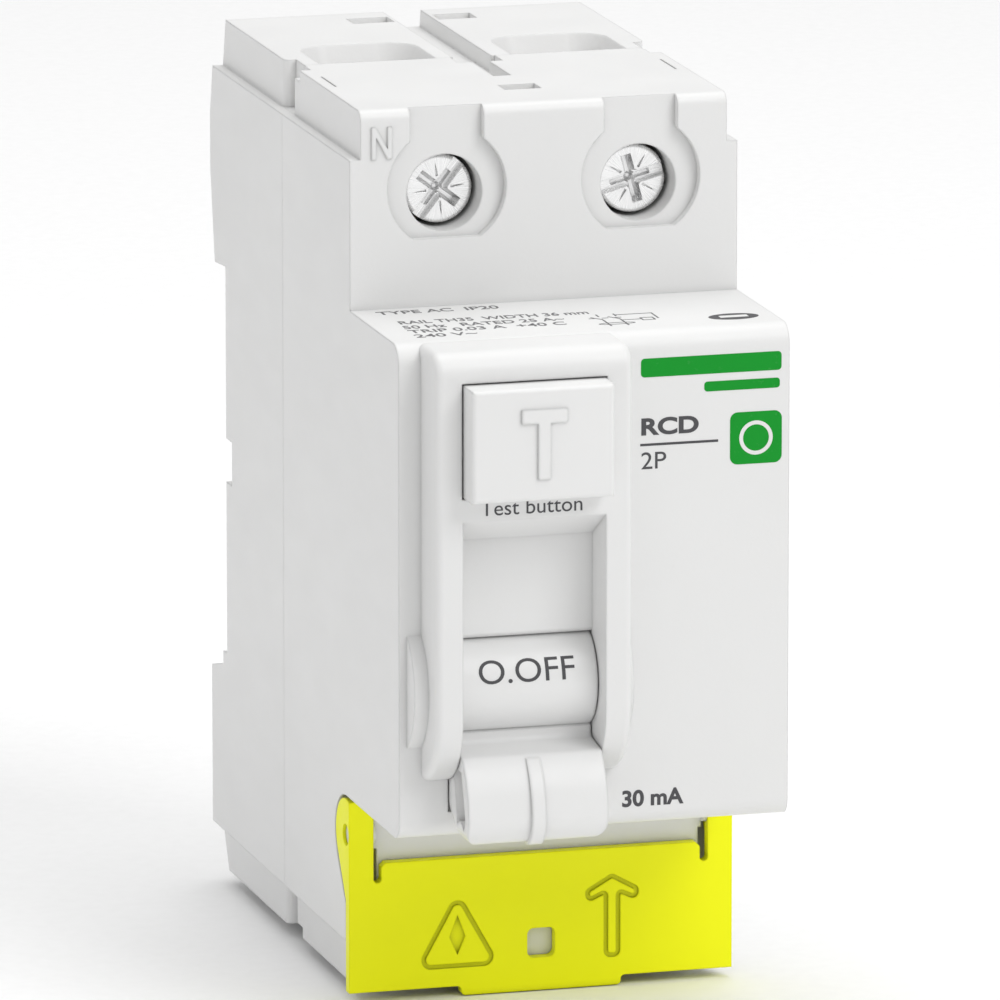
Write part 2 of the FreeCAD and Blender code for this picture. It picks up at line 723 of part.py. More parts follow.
def build_handle():
    """The toggle, drawn about its axle in the OFF position."""
    body = new_body("handle")
    left, right = dims.handle_left, dims.handle_right
    drum = dims.drum_radius
    pad(body, "Drum", "YZ_Plane", left, right, circle(0, 0, drum))
    grip = [
        (-1.6, -3.6),
        (-2.35, -4.25),
        (-2.35, -5.2),
        (-5.75, -5.7),
        (-8.05, -11.1, 7.7),
        (-7.35, -12.75, 2.6),
        (-5.6, -13.5, 1.9),
        (-1.9, -11.0),
        (0.5, -8.4),
        (0.8, -3.4),
    ]
    pad(body, "Grip", "YZ_Plane", left, right, grip)
    soften(body, "GripValley", "Fillet", 0.6, {"y": -2.35, "z": -5.2})
    soften(body, "GripBrow", "Fillet", 0.7, {"y": -5.75, "z": -5.7})
    low, corner = -13.6, 1.6
    for name, edge, inward in (("Left", left, 1), ("Right", right, -1)):
        pocket(body, "LowCorner" + name, "XZ_Plane", 1.0, 9.0, [
            (edge - 0.1 * inward, low - 0.4),
            (edge - 0.1 * inward, low + corner),
            (edge, low + corner),
            (edge + corner * inward, low, corner * inward),
            (edge + corner * inward, low - 0.4),
        ])
    centre = (left + right) / 2
    rib = [
        (-5.4, -6.2),
        (-6.15, -5.95),
        (-8.4, -11.1, 7.9),
        (-7.6, -13.05, 2.8),
        (-5.6, -13.75, 2.0),
        (-5.0, -12.6),
        (-7.0, -11.0),
    ]
    pad(body, "GripRib", "YZ_Plane", centre - 0.65, centre + 0.65, rib)
    hollow = [
        (-3.1, -7.0),
        (-4.3, -12.0),
        (-6.4, -12.2, 1.25),
        (-6.9, -11.0, -2.2),
        (-5.6, -7.0),
    ]
    pocket(body, "HollowLeft", "YZ_Plane", left - 0.1, left + 1.2, hollow)
    pocket(body, "HollowRight", "YZ_Plane", right - 1.2, right + 0.1, hollow)
    angle = math.radians(dims.crank_angle.value)
    pin_y = dims.crank_radius * math.cos(angle)
    pin_z = dims.crank_radius * math.sin(angle)
    start, end = math.radians(-35), math.radians(92)
    keep, clear = 3.3, 9.0
    pocket(body, "LinkRelief", "YZ_Plane", centre - 3.5, centre - 1.2, [
        (keep * math.cos(start), keep * math.sin(start), -keep),
        (clear * math.cos(start), clear * math.sin(start)),
        (clear, clear),
        (clear * math.cos(end), clear * math.sin(end)),
        (keep * math.cos(end), keep * math.sin(end)),
    ])
    pad(body, "CrankLug", "YZ_Plane", centre - 1.2, centre + 1.2,
        [(1.8, 0.2), (pin_y + 1.0, pin_z - 0.9), (pin_y - 1.0, pin_z + 0.9), (-0.4, 2.4)])
    pad(body, "CrankEye", "YZ_Plane", centre - 1.2, centre + 1.2, circle(pin_y, pin_z, 1.35))
    pocket(body, "CrankHole", "YZ_Plane", centre - 1.3, centre + 1.3, circle(pin_y, pin_z, 0.65))
    bore = dims.axle_radius + dims.running_gap
    pocket(body, "AxleHole", "YZ_Plane", left - 0.1, right + 0.1, circle(0, 0, bore))
    pocket(body, "SpringSeat", "YZ_Plane", right - 3.2, right + 0.1, circle(0, 0, 2.7))
    place(body, 0, -dims.handle_depth, dims.handle_height)


def build_handle_axle():
    body = new_body("handle_axle")
    pad(body, "Axle", "YZ_Plane", -16.2, 2.2,
        circle(-dims.handle_depth, dims.handle_height, dims.axle_radius))
    body = spring("handle_spring", 1.85, 0.26, 2.4, 3.5)
    place(body, dims.handle_right - 2.75, -dims.handle_depth, dims.handle_height, (0, 1, 0), 90)


def build_link():
    """The link from the handle's crank to the carrier, drawn along its own +Y from the crank pin."""
    body = new_body("link_rod")
    eye = 2.9
    plate_left, plate_right = -10.2, -9.2
    length = dims.link_length
    pad(body, "LinkBar", "YZ_Plane", plate_left, plate_right, rectangle(0, length - 2, -0.9, 0.9))
    pad(body, "LinkHead", "YZ_Plane", plate_left, plate_right, circle(0, 0, 1.5))
    pad(body, "LinkEye", "YZ_Plane", plate_left, plate_right, circle(length, 0, eye))
    pocket(body, "EyeHole", "YZ_Plane", plate_left - 0.1, plate_right + 0.1, circle(length, 0, eye - 0.9))
    pad(body, "LinkPin", "YZ_Plane", plate_right, -5.9, circle(0, 0, 0.6))
    angle = math.radians(dims.crank_angle.value)
    place(body, 0, dims.crank_radius * math.cos(angle) - dims.handle_depth,
          dims.crank_radius * math.sin(angle) + dims.handle_height, (1, 0, 0), dims.link_angle)


# ---------------------------------------------------------------- contacts


def carrier_place(body):
    """Carrier pieces are drawn with the blades upright, then leaned back to the open position."""
    place(body, 0, -dims.carrier_depth, dims.carrier_height, (1, 0, 0), dims.carrier_open_angle)


def build_carrier():
    body = new_body("contact_carrier")
    half = dims.carrier_half
    pad(body, "Shaft", "YZ_Plane", -half, half, circle(0, 0, dims.carrier_radius))
    for pole, side in POLES:
        centre = dims.pole_offset * side
        block = rectangle(centre - 3.4, centre + 3.4, -1.6, 2.4)
        pad(body, "Holder" + pole.upper(), "XY_Plane", 1.0, 6.4, block)
        slot = rectangle(centre - dims.blade_half - 0.05, centre + dims.blade_half + 0.05, -0.05, 1.55)
        pocket(body, "BladeSlot" + pole.upper(), "XY_Plane", 2.0, 6.5, slot)
    lean = math.radians(-dims.carrier_open_angle.value)
    arm = 7.0
    pin = (-arm * math.cos(lean), -arm * math.sin(lean))
    cheek_left, cheek_right = (-11.7, -10.5), (-8.9, -7.7)
    for name, (low, high) in (("Left", cheek_left), ("Right", cheek_right)):
        pad(body, "Cheek" + name, "YZ_Plane", low, high,
            [(-0.8, 3.0), (pin[0] - 0.4, pin[1] + 1.3), (pin[0] - 0.9, pin[1] - 0.9), (-0.6, -3.2)])
    waist = 2.4
    waist_rise = math.sqrt(waist ** 2 - 0.8 ** 2)
    pocket(body, "LinkRelief", "YZ_Plane", cheek_left[1], cheek_right[0],
           [(-0.8, -waist_rise), (-0.8, waist_rise, -waist),
            (-0.8, 4.5), (-4.5, 4.5), (-4.5, -4.5), (-0.8, -4.5)])
    pocket(body, "PinBore", "YZ_Plane", -half - 0.1, half + 0.1,
           circle(0, 0, dims.carrier_pin_radius + dims.running_gap))
    for name, low, high in (("Left", *cheek_left), ("Right", *cheek_right)):
        pocket(body, "CheekHole" + name, "YZ_Plane", low - 0.1, high + 0.1, circle(*pin, 0.52))
    carrier_place(body)

    body = new_body("carrier_link_pin")
    pad(body, "Pin", "YZ_Plane", cheek_left[0] + 0.1, cheek_right[1] - 0.1, circle(*pin, 0.5))
    carrier_place(body)

    body = new_body("carrier_pin")
    pad(body, "Pin", "YZ_Plane", -dims.carrier_pin_half, dims.carrier_pin_half,
        circle(-dims.carrier_depth, dims.carrier_height, dims.carrier_pin_radius))


def build_moving_contacts():
    tips = new_body("moving_contact_tips")
    loops = []
    for pole, side in POLES:
        centre = dims.pole_offset * side
        body = new_body("moving_contact_" + pole)
        low, high, tip = centre - dims.blade_half, centre + dims.blade_half, dims.blade_tip
        pad(body, "Blade", "XZ_Plane", -1.5, 0, rectangle(low, high, 2.05, tip))
        soften(body, "BladeCorners", "Fillet", 1.2, {"x": low, "z": tip}, {"x": high, "z": tip})
        carrier_place(body)
        loops.append(circle(centre, dims.blade_tip - 2.2, 1.8))
    pad(tips, "Tips", "XZ_Plane", 0.02, 0.9, *loops)
    carrier_place(tips)


def build_fixed_contacts():
    tips = new_body("fixed_contact_tips")
    loops = []
    front, back = -36.6, -35.1
    for pole, side in POLES:
        centre = dims.pole_offset * side
        body = new_body("fixed_contact_" + pole)
        low, high = centre - 3, centre + 3
        bar = [
            (-dims.bar_back, 36.5), (-dims.bar_back, 24.4), (back, 24.4), (back, 12.0),
            (front, 12.0), (front, 25.9), (-dims.bar_front, 25.9), (-dims.bar_front, 36.5),
        ]
        pad(body, "Bar", "YZ_Plane", low, high, bar)
        loops.append(circle(centre, 14.2, 1.9))
        body = new_body("lower_bar_" + pole)
        pad(body, "Bar", "XZ_Plane", dims.bar_back, dims.bar_front,
            rectangle(centre - dims.bar_half, centre + dims.bar_half, -36.5, -26.2))
    pad(tips, "Tips", "XZ_Plane", -back - 0.9, -back - 0.02, *loops)


def build_arc_chutes():
    plates = new_body("arc_plates")
    cards = new_body("arc_chute_cards")
    card_loops = []
    for pole, side in POLES:
        centre = dims.pole_offset * side
        for number in range(4):
            low = 17.4 + 1.6 * number
            pad(plates, f"Plate{pole.upper()}{number}", "XY_Plane", low, low + 0.7,
                [(centre - 3.3, -33.8), (centre - 1.6, -33.8), (centre, -29.5), (centre + 1.6, -33.8),
                 (centre + 3.3, -33.8), (centre + 3.3, -24.2), (centre - 3.3, -24.2)])
        card_loops.append(rectangle(centre - 3.85, centre - 3.35, 16.8, 23.8))
        card_loops.append(rectangle(centre + 3.35, centre + 3.85, 16.8, 23.8))
    pad(cards, "Cards", "XZ_Plane", 24.2, 33.8, *card_loops)


# ---------------------------------------------------------------- terminals


def build_terminal_screw(name, side, sign, face, turn):
    """A combined slot and cross-recess terminal screw, drawn along its own +Y from its face."""
    body = new_body("terminal_screw_" + name)
    head = dims.screw_head_length
    end = face - dims.pocket_depth - dims.screw_sink - dims.screw_end_depth
    pad(body, "Head", "XZ_Plane", -head, 0, circle(0, 0, dims.screw_head_radius))
    pad(body, "Shank", "XZ_Plane", -end, -head, circle(0, 0, dims.screw_shank_radius))
    soften(body, "HeadEdge", "Fillet", 0.35, {"y": 0})
    pocket(body, "Slot", "XZ_Plane", -0.75, 0.1, rectangle(-3.3, 3.3, -0.58, 0.58))
    diamond = 1.3
    recesses = (
        ("CrossAcross", 1.2, 14, rectangle(-2.1, 2.1, -0.46, 0.46)),
        ("CrossAlong", 1.2, 14, rectangle(-0.5, 0.5, -2.25, 2.25)),
        ("CrossCore", 1.6, 24, [(-diamond, 0), (0, -diamond), (diamond, 0), (0, diamond)]),
    )
    for label, deep, draft, outline in recesses:
        feature = pocket(body, label, "XZ_Plane", -deep, 0.1, outline)
        feature.TaperAngle = -draft
    ticks = []
    for quarter in range(4):
        angle = math.radians(45 + 90 * quarter)
        along = (math.cos(angle), math.sin(angle))
        across = (-along[1] * 0.11, along[0] * 0.11)
        ticks.append([
            (along[0] * 1.15 + across[0], along[1] * 1.15 + across[1]),
            (along[0] * 1.15 - across[0], along[1] * 1.15 - across[1]),
            (along[0] * 2.45, along[1] * 2.45),
        ])
    pocket(body, "TickMarks", "XZ_Plane", -0.25, 0.1, *ticks)
    depth = face - dims.pocket_depth - dims.screw_sink
    place(body, dims.pole_offset * side, -depth, dims.screw_height * sign, (0, 1, 0), turn)


def build_terminal_cage(name, side, sign):
    """A box clamp: its threaded wall rides on the screw and its back wall lifts the cable to the bar."""
    body = new_body("terminal_cage_" + name)
    centre = dims.pole_offset * side
    low, high = (dims.cage_low, dims.cage_high) if sign > 0 else (-dims.cage_high, -dims.cage_low)
    left, right = centre - dims.cage_half, centre + dims.cage_half
    front, back = -dims.cage_front, -dims.cage_back
    pad(body, "Cage", "XY_Plane", low, high, rectangle(left, right, front, back))
    pocket(body, "CageSpace", "XY_Plane", low - 0.1, high + 0.1,
           rectangle(left + 1, right - 1, front + 1.6, back - 1.2))
    pocket(body, "Thread", "XZ_Plane", dims.cage_front - 1.7, dims.cage_front + 0.1,
           circle(centre, dims.screw_height * sign, dims.screw_shank_radius + dims.running_gap))
    edges = [{"x": across, "y": along} for across in (left, right) for along in (front, back)]
    soften(body, "CageEdges", "Fillet", 0.6, *edges)


def build_terminals():
    turns = {("top", "n"): -52, ("top", "l"): -15, ("bottom", "n"): -30, ("bottom", "l"): -70}
    for end, sign, face in (("top", 1, dims.shoulder_depth), ("bottom", -1, dims.lower_shoulder_depth)):
        for pole, side in POLES:
            name = end + "_" + pole
            build_terminal_screw(name, side, sign, face, turns[end, pole])
            build_terminal_cage(name, side, sign)


# ---------------------------------------------------------------- test button and flap


def build_test_button():
    body = new_body("test_button")
    left, right, low, high = dims.button_left, dims.button_right, dims.button_low, dims.button_high
    centre = (left + right) / 2
    pad(body, "Block", "XZ_Plane", dims.button_flange_back, dims.button_face,
        rectangle(left, right, low, high))
    soften(body, "FaceEdges", "Fillet", 0.35, {"y": -dims.button_face})
    pad(body, "Flange", "XZ_Plane", dims.button_flange_back, dims.button_flange_front,
        rectangle(left - 0.75, right + 0.75, low - 0.75, high + 0.75))
    for name, inner, outer in (("Left", left + 1.2, centre - 1.8), ("Right", centre + 1.8, right - 1.2)):
        pocket(body, "Hollow" + name, "XZ_Plane", dims.button_flange_back - 0.1, dims.button_face - 1.4,
               rectangle(inner, outer, low + 1.2, high - 1.2))
    pad(body, "Post", "XZ_Plane", 55.4, dims.button_flange_back, circle(centre, 11.2, 0.8))
    pad(body, "LetterBar", "XZ_Plane", dims.button_face - 0.1, dims.button_face + 0.25,
        rectangle(-9.01, -4.81, 16.55, 17.8))
    pad(body, "LetterStem", "XZ_Plane", dims.button_face - 0.1, dims.button_face + 0.25,
        rectangle(-7.51, -6.36, 11.5, 16.7))


def round_corners(corners, radii):
    """An outline that starts midway along the first edge and turns each corner on its own radius."""
    outline = []
    for number, (corner, radius) in enumerate(zip(corners, radii)):
        arms = []
        for other in (corners[number - 1], corners[(number + 1) % len(corners)]):
            across, along = other[0] - corner[0], other[1] - corner[1]
            length = math.hypot(across, along)
            arms.append((across / length, along / length))
        angle = math.acos(arms[0][0] * arms[1][0] + arms[0][1] * arms[1][1])
        back = radius / math.tan(angle / 2)
        turn = arms[0][1] * arms[1][0] - arms[0][0] * arms[1][1]
        first, last = [(corner[0] + arm[0] * back, corner[1] + arm[1] * back) for arm in arms]
        outline += [first, (*last, math.copysign(radius, turn))]
    start = ((corners[0][0] + corners[1][0]) / 2, (corners[0][1] + corners[1][1]) / 2)
    return [start] + outline[2:] + outline[:2]


def grow_outline(corners, distance):
    """The corners of an anticlockwise outline whose edges have all moved outwards by that distance."""
    moved = []
    for number, corner in enumerate(corners):
        normals = []
        for start, end in ((corners[number - 1], corner), (corner, corners[(number + 1) % len(corners)])):
            length = math.hypot(end[0] - start[0], end[1] - start[1])
            normals.append(((end[1] - start[1]) / length, (start[0] - end[0]) / length))
        (first_a, first_b), (second_a, second_b) = normals
        reach = distance / (1 + first_a * second_a + first_b * second_b)
        moved.append((corner[0] + (first_a + second_a) * reach, corner[1] + (first_b + second_b) * reach))
    return moved


def groove(body, name, face, corners, bends):
    """A narrow groove along an anticlockwise outline. An inward bend has a negative radius."""
    corners = [tuple(as_size(value).value for value in corner) for corner in corners]
    outlines = []
    for distance in (0.21, -0.21):
        radii = [abs(bend + distance) for bend in bends]
        outlines.append(round_corners(grow_outline(corners, distance), radii))
    pocket(body, name, "XZ_Plane", -face - 0.3, -face, *outlines)


def build_flap():
    """The hinged cover over the lower terminals, drawn about its pivot, hanging closed."""
    body = new_body("terminal_flap")
    face = dims.flap_pivot_depth - dims.flap_face
    back = face + dims.flap_thick
    down = dims.flap_pivot_height
    top, bottom = dims.flap_top - down, dims.flap_bottom - down
    tab, tab_half = dims.flap_tab_bottom - down, dims.flap_tab_half
    plate = [
        (-HALF_WIDTH, top), (-HALF_WIDTH, bottom),
        (-tab_half - 0.4, bottom), (-tab_half, bottom - 0.4, -0.4),
        (-tab_half, tab + 0.4), (-tab_half + 0.4, tab, 0.4),
        (tab_half - 0.4, tab), (tab_half, tab + 0.4, 0.4),
        (tab_half, bottom - 0.4), (tab_half + 0.4, bottom, -0.4),
        (HALF_WIDTH, bottom), (HALF_WIDTH, top),
    ]
    pad(body, "Plate", "XZ_Plane", -back, -face, plate)
    radius = dims.ear_radius.value
    foot = (back.value - 0.1, dims.ear_foot.value)
    meet = math.atan2(foot[1], foot[0]) + math.acos(radius / math.hypot(*foot))
    ear = [
        (face, dims.ear_foot),
        (face, math.sqrt(radius ** 2 - face.value ** 2)),
        (radius * math.cos(meet), radius * math.sin(meet), -dims.ear_radius),
        foot,
    ]
    for name, side in (("Left", -1), ("Right", 1)):
        low, high = between(dims.ear_inner * side, HALF_WIDTH * side)
        pad(body, "Ear" + name, "YZ_Plane", low, high, ear)
        low, high = between(dims.strip_inner * side, HALF_WIDTH * side)
        pad(body, "Strip" + name, "XZ_Plane", -back, -face, rectangle(low, high, top - 0.5, 3.0))
        hole = circle(0, 0, dims.flap_hole_radius)
        pocket(body, "PivotHole" + name, "YZ_Plane", low - 0.1, high + 0.1, hole)
        outer, inner = dims.strip_inner * side, (dims.strip_inner - 0.75) * side
        slot = [
            (outer, top + 0.1),
            (inner - 0.5 * side, top + 0.1),
            (inner, top - 0.4),
            (inner, top - 1.5),
            (outer, top - 1.5, 0.38 * side),
        ]
        pocket(body, "Slot" + name, "XZ_Plane", -back - 0.1, -face + 0.1, slot)
    pocket(body, "Lifter", "XZ_Plane", -back - 0.1, -face + 0.1,
           rounded(-1.3, 1.3, -38.45 - down, -35.7 - down, 0.6))
    apex, base, left, right = -32.1 - down, -38.7 - down, -11.5, -4.2
    middle = (left + right) / 2
    groove(body, "TriangleMark", face, [(left, base), (right, base), (middle, apex)], [0.7, 0.7, 0.7])
    pocket(body, "LozengeMark", "XZ_Plane", -face - 0.35, -face,
           [(middle, base + 1.0), (middle + 0.75, base + 2.7),
            (middle, base + 4.7), (middle - 0.75, base + 2.7)])
    middle, shaft, tip, wing, low = 6.68, 0.57, -31.3 - down, -33.5 - down, -38.7 - down
    arrow = [
        (middle - shaft, low), (middle + shaft, low), (middle + shaft, wing + 0.8), (middle + 2.3, wing),
        (middle + 2.3, wing + 0.9), (middle, tip), (middle - 2.3, wing + 0.9), (middle - 2.3, wing),
        (middle - shaft, wing + 0.8),
    ]
    groove(body, "ArrowMark", face, arrow, [0.45, 0.45, -0.3, 0.35, 0.35, 0.35, 0.35, 0.35, -0.3])
    place(body, 0, -dims.flap_pivot_depth, dims.flap_pivot_height)


def build_rail_clip():
    body = new_body("rail_clip")
    half, front, back = dims.clip_half, dims.clip_front, dims.clip_back
    pad(body, "Slider", "XZ_Plane", -back, -front, rectangle(-half, half, dims.clip_low, dims.clip_nose))
    pocket(body, "Window", "XZ_Plane", -back - 0.1, -front + 0.1, rectangle(-1.9, 1.9, -38.4, -24))
    soften(body, "NoseRamp", "Chamfer", 1.2, {"y": back, "z": dims.clip_nose})
    pocket(body, "DriverSlot", "XZ_Plane", -back - 0.1, -front + 0.1, rectangle(-2.5, 2.5, -40.7, -39.6))
    body = spring("rail_clip_spring", 1.0, 0.2, 8.9, 8)
    place(body, 0, (front + back) / 2, -33.28)


# ---------------------------------------------------------------- latch, relay and sensing


def build_mechanism_frame():
    body = new_body("mechanism_frame")
    base_back, base_front = 44.4, 45.4
    pad(body, "Base", "XZ_Plane", base_back, base_front, rectangle(-14.2, 0.8, -14.5, 19.8))
    pocket(body, "LinkSlot", "XZ_Plane", base_back - 0.1, base_front + 0.1, rectangle(-12.3, -5.0, -14, 6.8))
    for name, low, high in (("Left", -14.2, -13.2), ("Right", -0.2, 0.8)):
        pad(body, "Cheek" + name, "YZ_Plane", low, high, rectangle(-49.7, -base_front, -1.4, 3.8))
    for name, low, high in (("Left", -14.3, -13.1), ("Right", -0.3, 0.9)):
        pocket(body, "PinHole" + name, "YZ_Plane", low, high, circle(-dims.trip_depth, dims.trip_height, 0.8))
    body = new_body("trip_pin")
    pad(body, "Pin", "YZ_Plane", -14.4, 12.2, circle(-dims.trip_depth, dims.trip_height, 0.75))


def build_trip_lever():
    body = new_body("trip_lever")
    pad(body, "Hub", "YZ_Plane", -13.0, -0.4, circle(0, 0, 1.6))
    pad(body, "RightHub", "YZ_Plane", 1.0, 12.0, circle(0, 0, 1.6))
    pad(body, "Bridge", "YZ_Plane", -1.6, 2.0, [(-3.6, -1.0), (-2.6, -1.0), (-2.6, 1.0), (-3.6, 1.0)])
    for name, low, high in (("Left", -1.6, -0.4), ("Right", 1.0, 2.0)):
        pad(body, "BridgeWeb" + name, "YZ_Plane", low, high, rectangle(-3.0, -1.0, -0.8, 0.8))
    pad(body, "Paddle", "YZ_Plane", 6.6, 11.6, rectangle(-6.2, -1.0, -0.8, 0.8))
    catch = [(-0.8, -1.0), (0.8, -1.0), (0.5, -6.0), (-1.6, -6.2), (-1.6, -5.2)]
    pad(body, "Catch", "YZ_Plane", -12.1, -10.8, catch)
    pocket(body, "PinBore", "YZ_Plane", -13.1, 12.1, circle(0, 0, 0.8))
    place(body, 0, -dims.trip_depth, dims.trip_height)


def build_relay():
    centre, depth = 9.1, 52.1
    body = new_body("relay_body")
    pad(body, "Shell", "XZ_Plane", 46.6, 57.6, rectangle(2.6, 15.6, 4.4, 19.6))
    pocket(body, "Inside", "XZ_Plane", 46.5, 56.6, rectangle(3.6, 14.6, 5.4, 18.6))
    pocket(body, "PlungerHole", "XY_Plane", 4.3, 5.5, circle(centre, -depth, 1.8))
    body = new_body("relay_yoke")
    pad(body, "Yoke", "XZ_Plane", 49.0, 55.2,
        rectangle(3.7, 14.5, 5.5, 18.5), rectangle(4.7, 13.5, 6.6, 17.5))
    pocket(body, "YokeHole", "XY_Plane", 5.4, 6.7, circle(centre, -depth, 1.8))
    body = new_body("relay_coil")
    pad(body, "Winding", "XY_Plane", 7.4, 16.7, circle(centre, -depth, 3.9), circle(centre, -depth, 1.8))
    pad(body, "FlangeLow", "XY_Plane", 6.7, 7.4, circle(centre, -depth, 4.3), circle(centre, -depth, 1.8))
    pad(body, "FlangeHigh", "XY_Plane", 16.7, 17.4, circle(centre, -depth, 4.3), circle(centre, -depth, 1.8))
    body = new_body("relay_plunger")
    pad(body, "Tip", "XY_Plane", 2.4, 3.3, circle(centre, -depth, 0.6))
    pad(body, "Rod", "XY_Plane", 3.2, 13.0, circle(centre, -depth, 1.4))
    pad(body, "Head", "XY_Plane", 3.2, 4.2, circle(centre, -depth, 2.3))
    body = spring("relay_spring", 1.1, 0.2, 3.9, 5)
    place(body, centre, -depth, 13.25)


def build_sensor():
    ring_y, ring_z = -dims.sensor_depth, dims.sensor_height
    body = new_body("sensor_core")
    outer, inner = dims.core_outer, dims.core_inner
    pad(body, "Core", "XZ_Plane", 9.0, 15.0, circle(0, ring_z, outer), circle(0, ring_z, inner))
    body = new_body("sensor_shell")
    outer, inner = dims.core_outer + 0.8, dims.core_inner - 1.0
    pad(body, "Shell", "XZ_Plane", 8.2, 15.2, circle(0, ring_z, outer), circle(0, ring_z, inner))
    pocket(body, "Groove", "XZ_Plane", 8.9, 15.3,
           circle(0, ring_z, dims.core_outer + 0.1), circle(0, ring_z, dims.core_inner - 0.1))
    body = new_body("sensor_winding")
    wire = 0.5
    outer_low, outer_high = inner.value - 0.7, outer.value + 0.7
    feature = pad(body, "Turn", "YZ_Plane", -wire / 2, wire / 2,
                  rectangle(-3.9 - wire, 3.9 + wire, outer_low, outer_high),
                  rectangle(-3.9, 3.9, outer_low + wire, outer_high - wire))
    pattern = body.newObject("PartDesign::PolarPattern", "Turns")
    pattern.Originals = [feature]
    pattern.Axis = (origin_plane(body, "Y_Axis"), [""])
    pattern.Angle = 150
    pattern.Occurrences = 26
    body.Tip = pattern
    place(body, 0, ring_y + 0.3, ring_z, (0, 1, 0), -75)


def build_leads():
    """The two main leads, each from beside its moving contact, through the sensor ring, to its lower bar."""
    for pole, side in POLES:
        wires("flexible_lead_" + pole, 1.25, [
            (9.0 * side, -27.6, -8.4),
            (7.0 * side, -23.0, -7.6),
            (3.2 * side, -17.0, -3.2),
            (2.4 * side, -11.0, -2.0),
            (3.2 * side, -6.6, -4.6),
            (5.4 * side, -6.2, -14.6),
            (7.8 * side, -9.4, -21.0),
            (8.8 * side, -16.0, -22.4),
            (9.0 * side, -21.2, -25.7),
        ])
    wires("signal_wires", 0.35,
          [(11.0, -18.0, 5.0), (14.2, -24.0, -2.0), (14.2, -30.0, -10.0), (12.0, -36.0, -16.9)],
          [(12.8, -16.9, 3.4), (14.4, -21.0, -8.0), (13.2, -26.0, -13.0), (10.5, -33.0, -16.9)],
          [(14.9, -45.6, 8.0), (15.2, -44.0, 0.0), (14.4, -45.0, -10.0), (13.0, -47.0, -16.9)],
          [(3.2, -45.7, 8.0), (2.4, -43.0, 0.0), (3.4, -43.5, -9.0), (4.4, -45.0, -16.9)])


def build_board():
    body = new_body("circuit_board")
    pad(body, "Board", "XY_Plane", -18.6, -17.4, rectangle(-12.8, 14.6, -54.0, -31.0))
    body = new_body("board_capacitors")
    for number, (across, depth, radius, high) in enumerate(((8.4, 50.6, 2.2, 5.2), (12.6, 42.0, 1.6, 3.6))):
        pad(body, f"Can{number}", "XY_Plane", -17.35, -17.35 + high, circle(across, -depth, radius))
    body = new_body("board_diodes")
    for number in range(4):
        depth = 36.2 + 2.2 * number
        pad(body, f"Diode{number}", "YZ_Plane", 2.0, 5.6, circle(-depth, -16.5, 0.8))
    body = new_body("test_resistor")
    pad(body, "Barrel", "YZ_Plane", -10.5, -3.0, circle(-36.4, -15.9, 1.4))
    pad(body, "Leads", "YZ_Plane", -12.0, -1.5, circle(-36.4, -15.9, 0.35))


def build_test_circuit():
    centre = (dims.button_left + dims.button_right) / 2
    body = new_body("test_blade")
    pad(body, "Leaf", "XZ_Plane", 52.9, 53.3, rectangle(centre - 1.4, centre + 1.4, 7.2, 13.0))
    pad(body, "Foot", "YZ_Plane", centre - 1.4, centre + 1.4, rectangle(-53.3, -45.5, 7.2, 7.6))
    body = new_body("test_contact")
    pad(body, "Stud", "XZ_Plane", 45.5, 52.4, circle(centre, 11.2, 0.6))
    pad(body, "Base", "XZ_Plane", 45.5, 46.6, circle(centre, 11.2, 1.3))
    body = spring("test_button_spring", 1.2, 0.22, 11.1, 9)
    place(body, centre, -dims.button_flange_back + 0.3, 16.4, (1, 0, 0), -90)


# ---------------------------------------------------------------- build, check and write


def check_document():
    """Stops on any failed object, a pocket that cuts nothing or a pad that adds nothing."""
    doc.recompute()
    problems = []
    for item in doc.Objects:
        if "Invalid" in item.State or "Error" in item.State:
            problems.append(f"{item.Label} is {item.State}")
    for item in doc.Objects:
        base = getattr(item, "BaseFeature", None)
        feature = item.isDerivedFrom("PartDesign::Feature") and not item.isDerivedFrom("PartDesign::Body")
        if base is None or not feature:
            continue
        change = item.Shape.Volume - base.Shape.Volume
        if item.isDerivedFrom("PartDesign::Pocket") and change > -1e-6:
            problems.append(f"{item.getParentGroup().Label}: {item.Label} cuts nothing")
        if item.isDerivedFrom("PartDesign::Pad") and change < 1e-6:
            problems.append(f"{item.getParentGroup().Label}: {item.Label} adds nothing")
    return problems


def write_pieces():
    pieces = [item for item in doc.Objects
              if item.isDerivedFrom("PartDesign::Body") or item.Name.startswith("Wire_")]
    problems = check_document()
    for piece in pieces:
        if piece.Shape.isNull() or not piece.Shape.isValid():
            problems.append(f"{piece.Label} has no valid shape")
    if problems:
        raise SystemExit("\n".join(problems))
    os.makedirs("parts", exist_ok=True)
    for piece in pieces:
        piece.Shape.exportStep(f"parts/{piece.Label}.step")
        print(piece.Label, len(piece.Shape.Solids), round(piece.Shape.Volume, 1))


build_rear_case()
build_front_cover()
build_case_screws()
build_handle()
build_handle_axle()
build_link()
build_carrier()
build_moving_contacts()
build_fixed_contacts()
build_arc_chutes()
build_terminals()
build_test_button()
build_flap()
build_rail_clip()
build_mechanism_frame()
build_trip_lever()
build_relay()
build_sensor()
build_leads()
build_board()
build_test_circuit()
write_pieces()
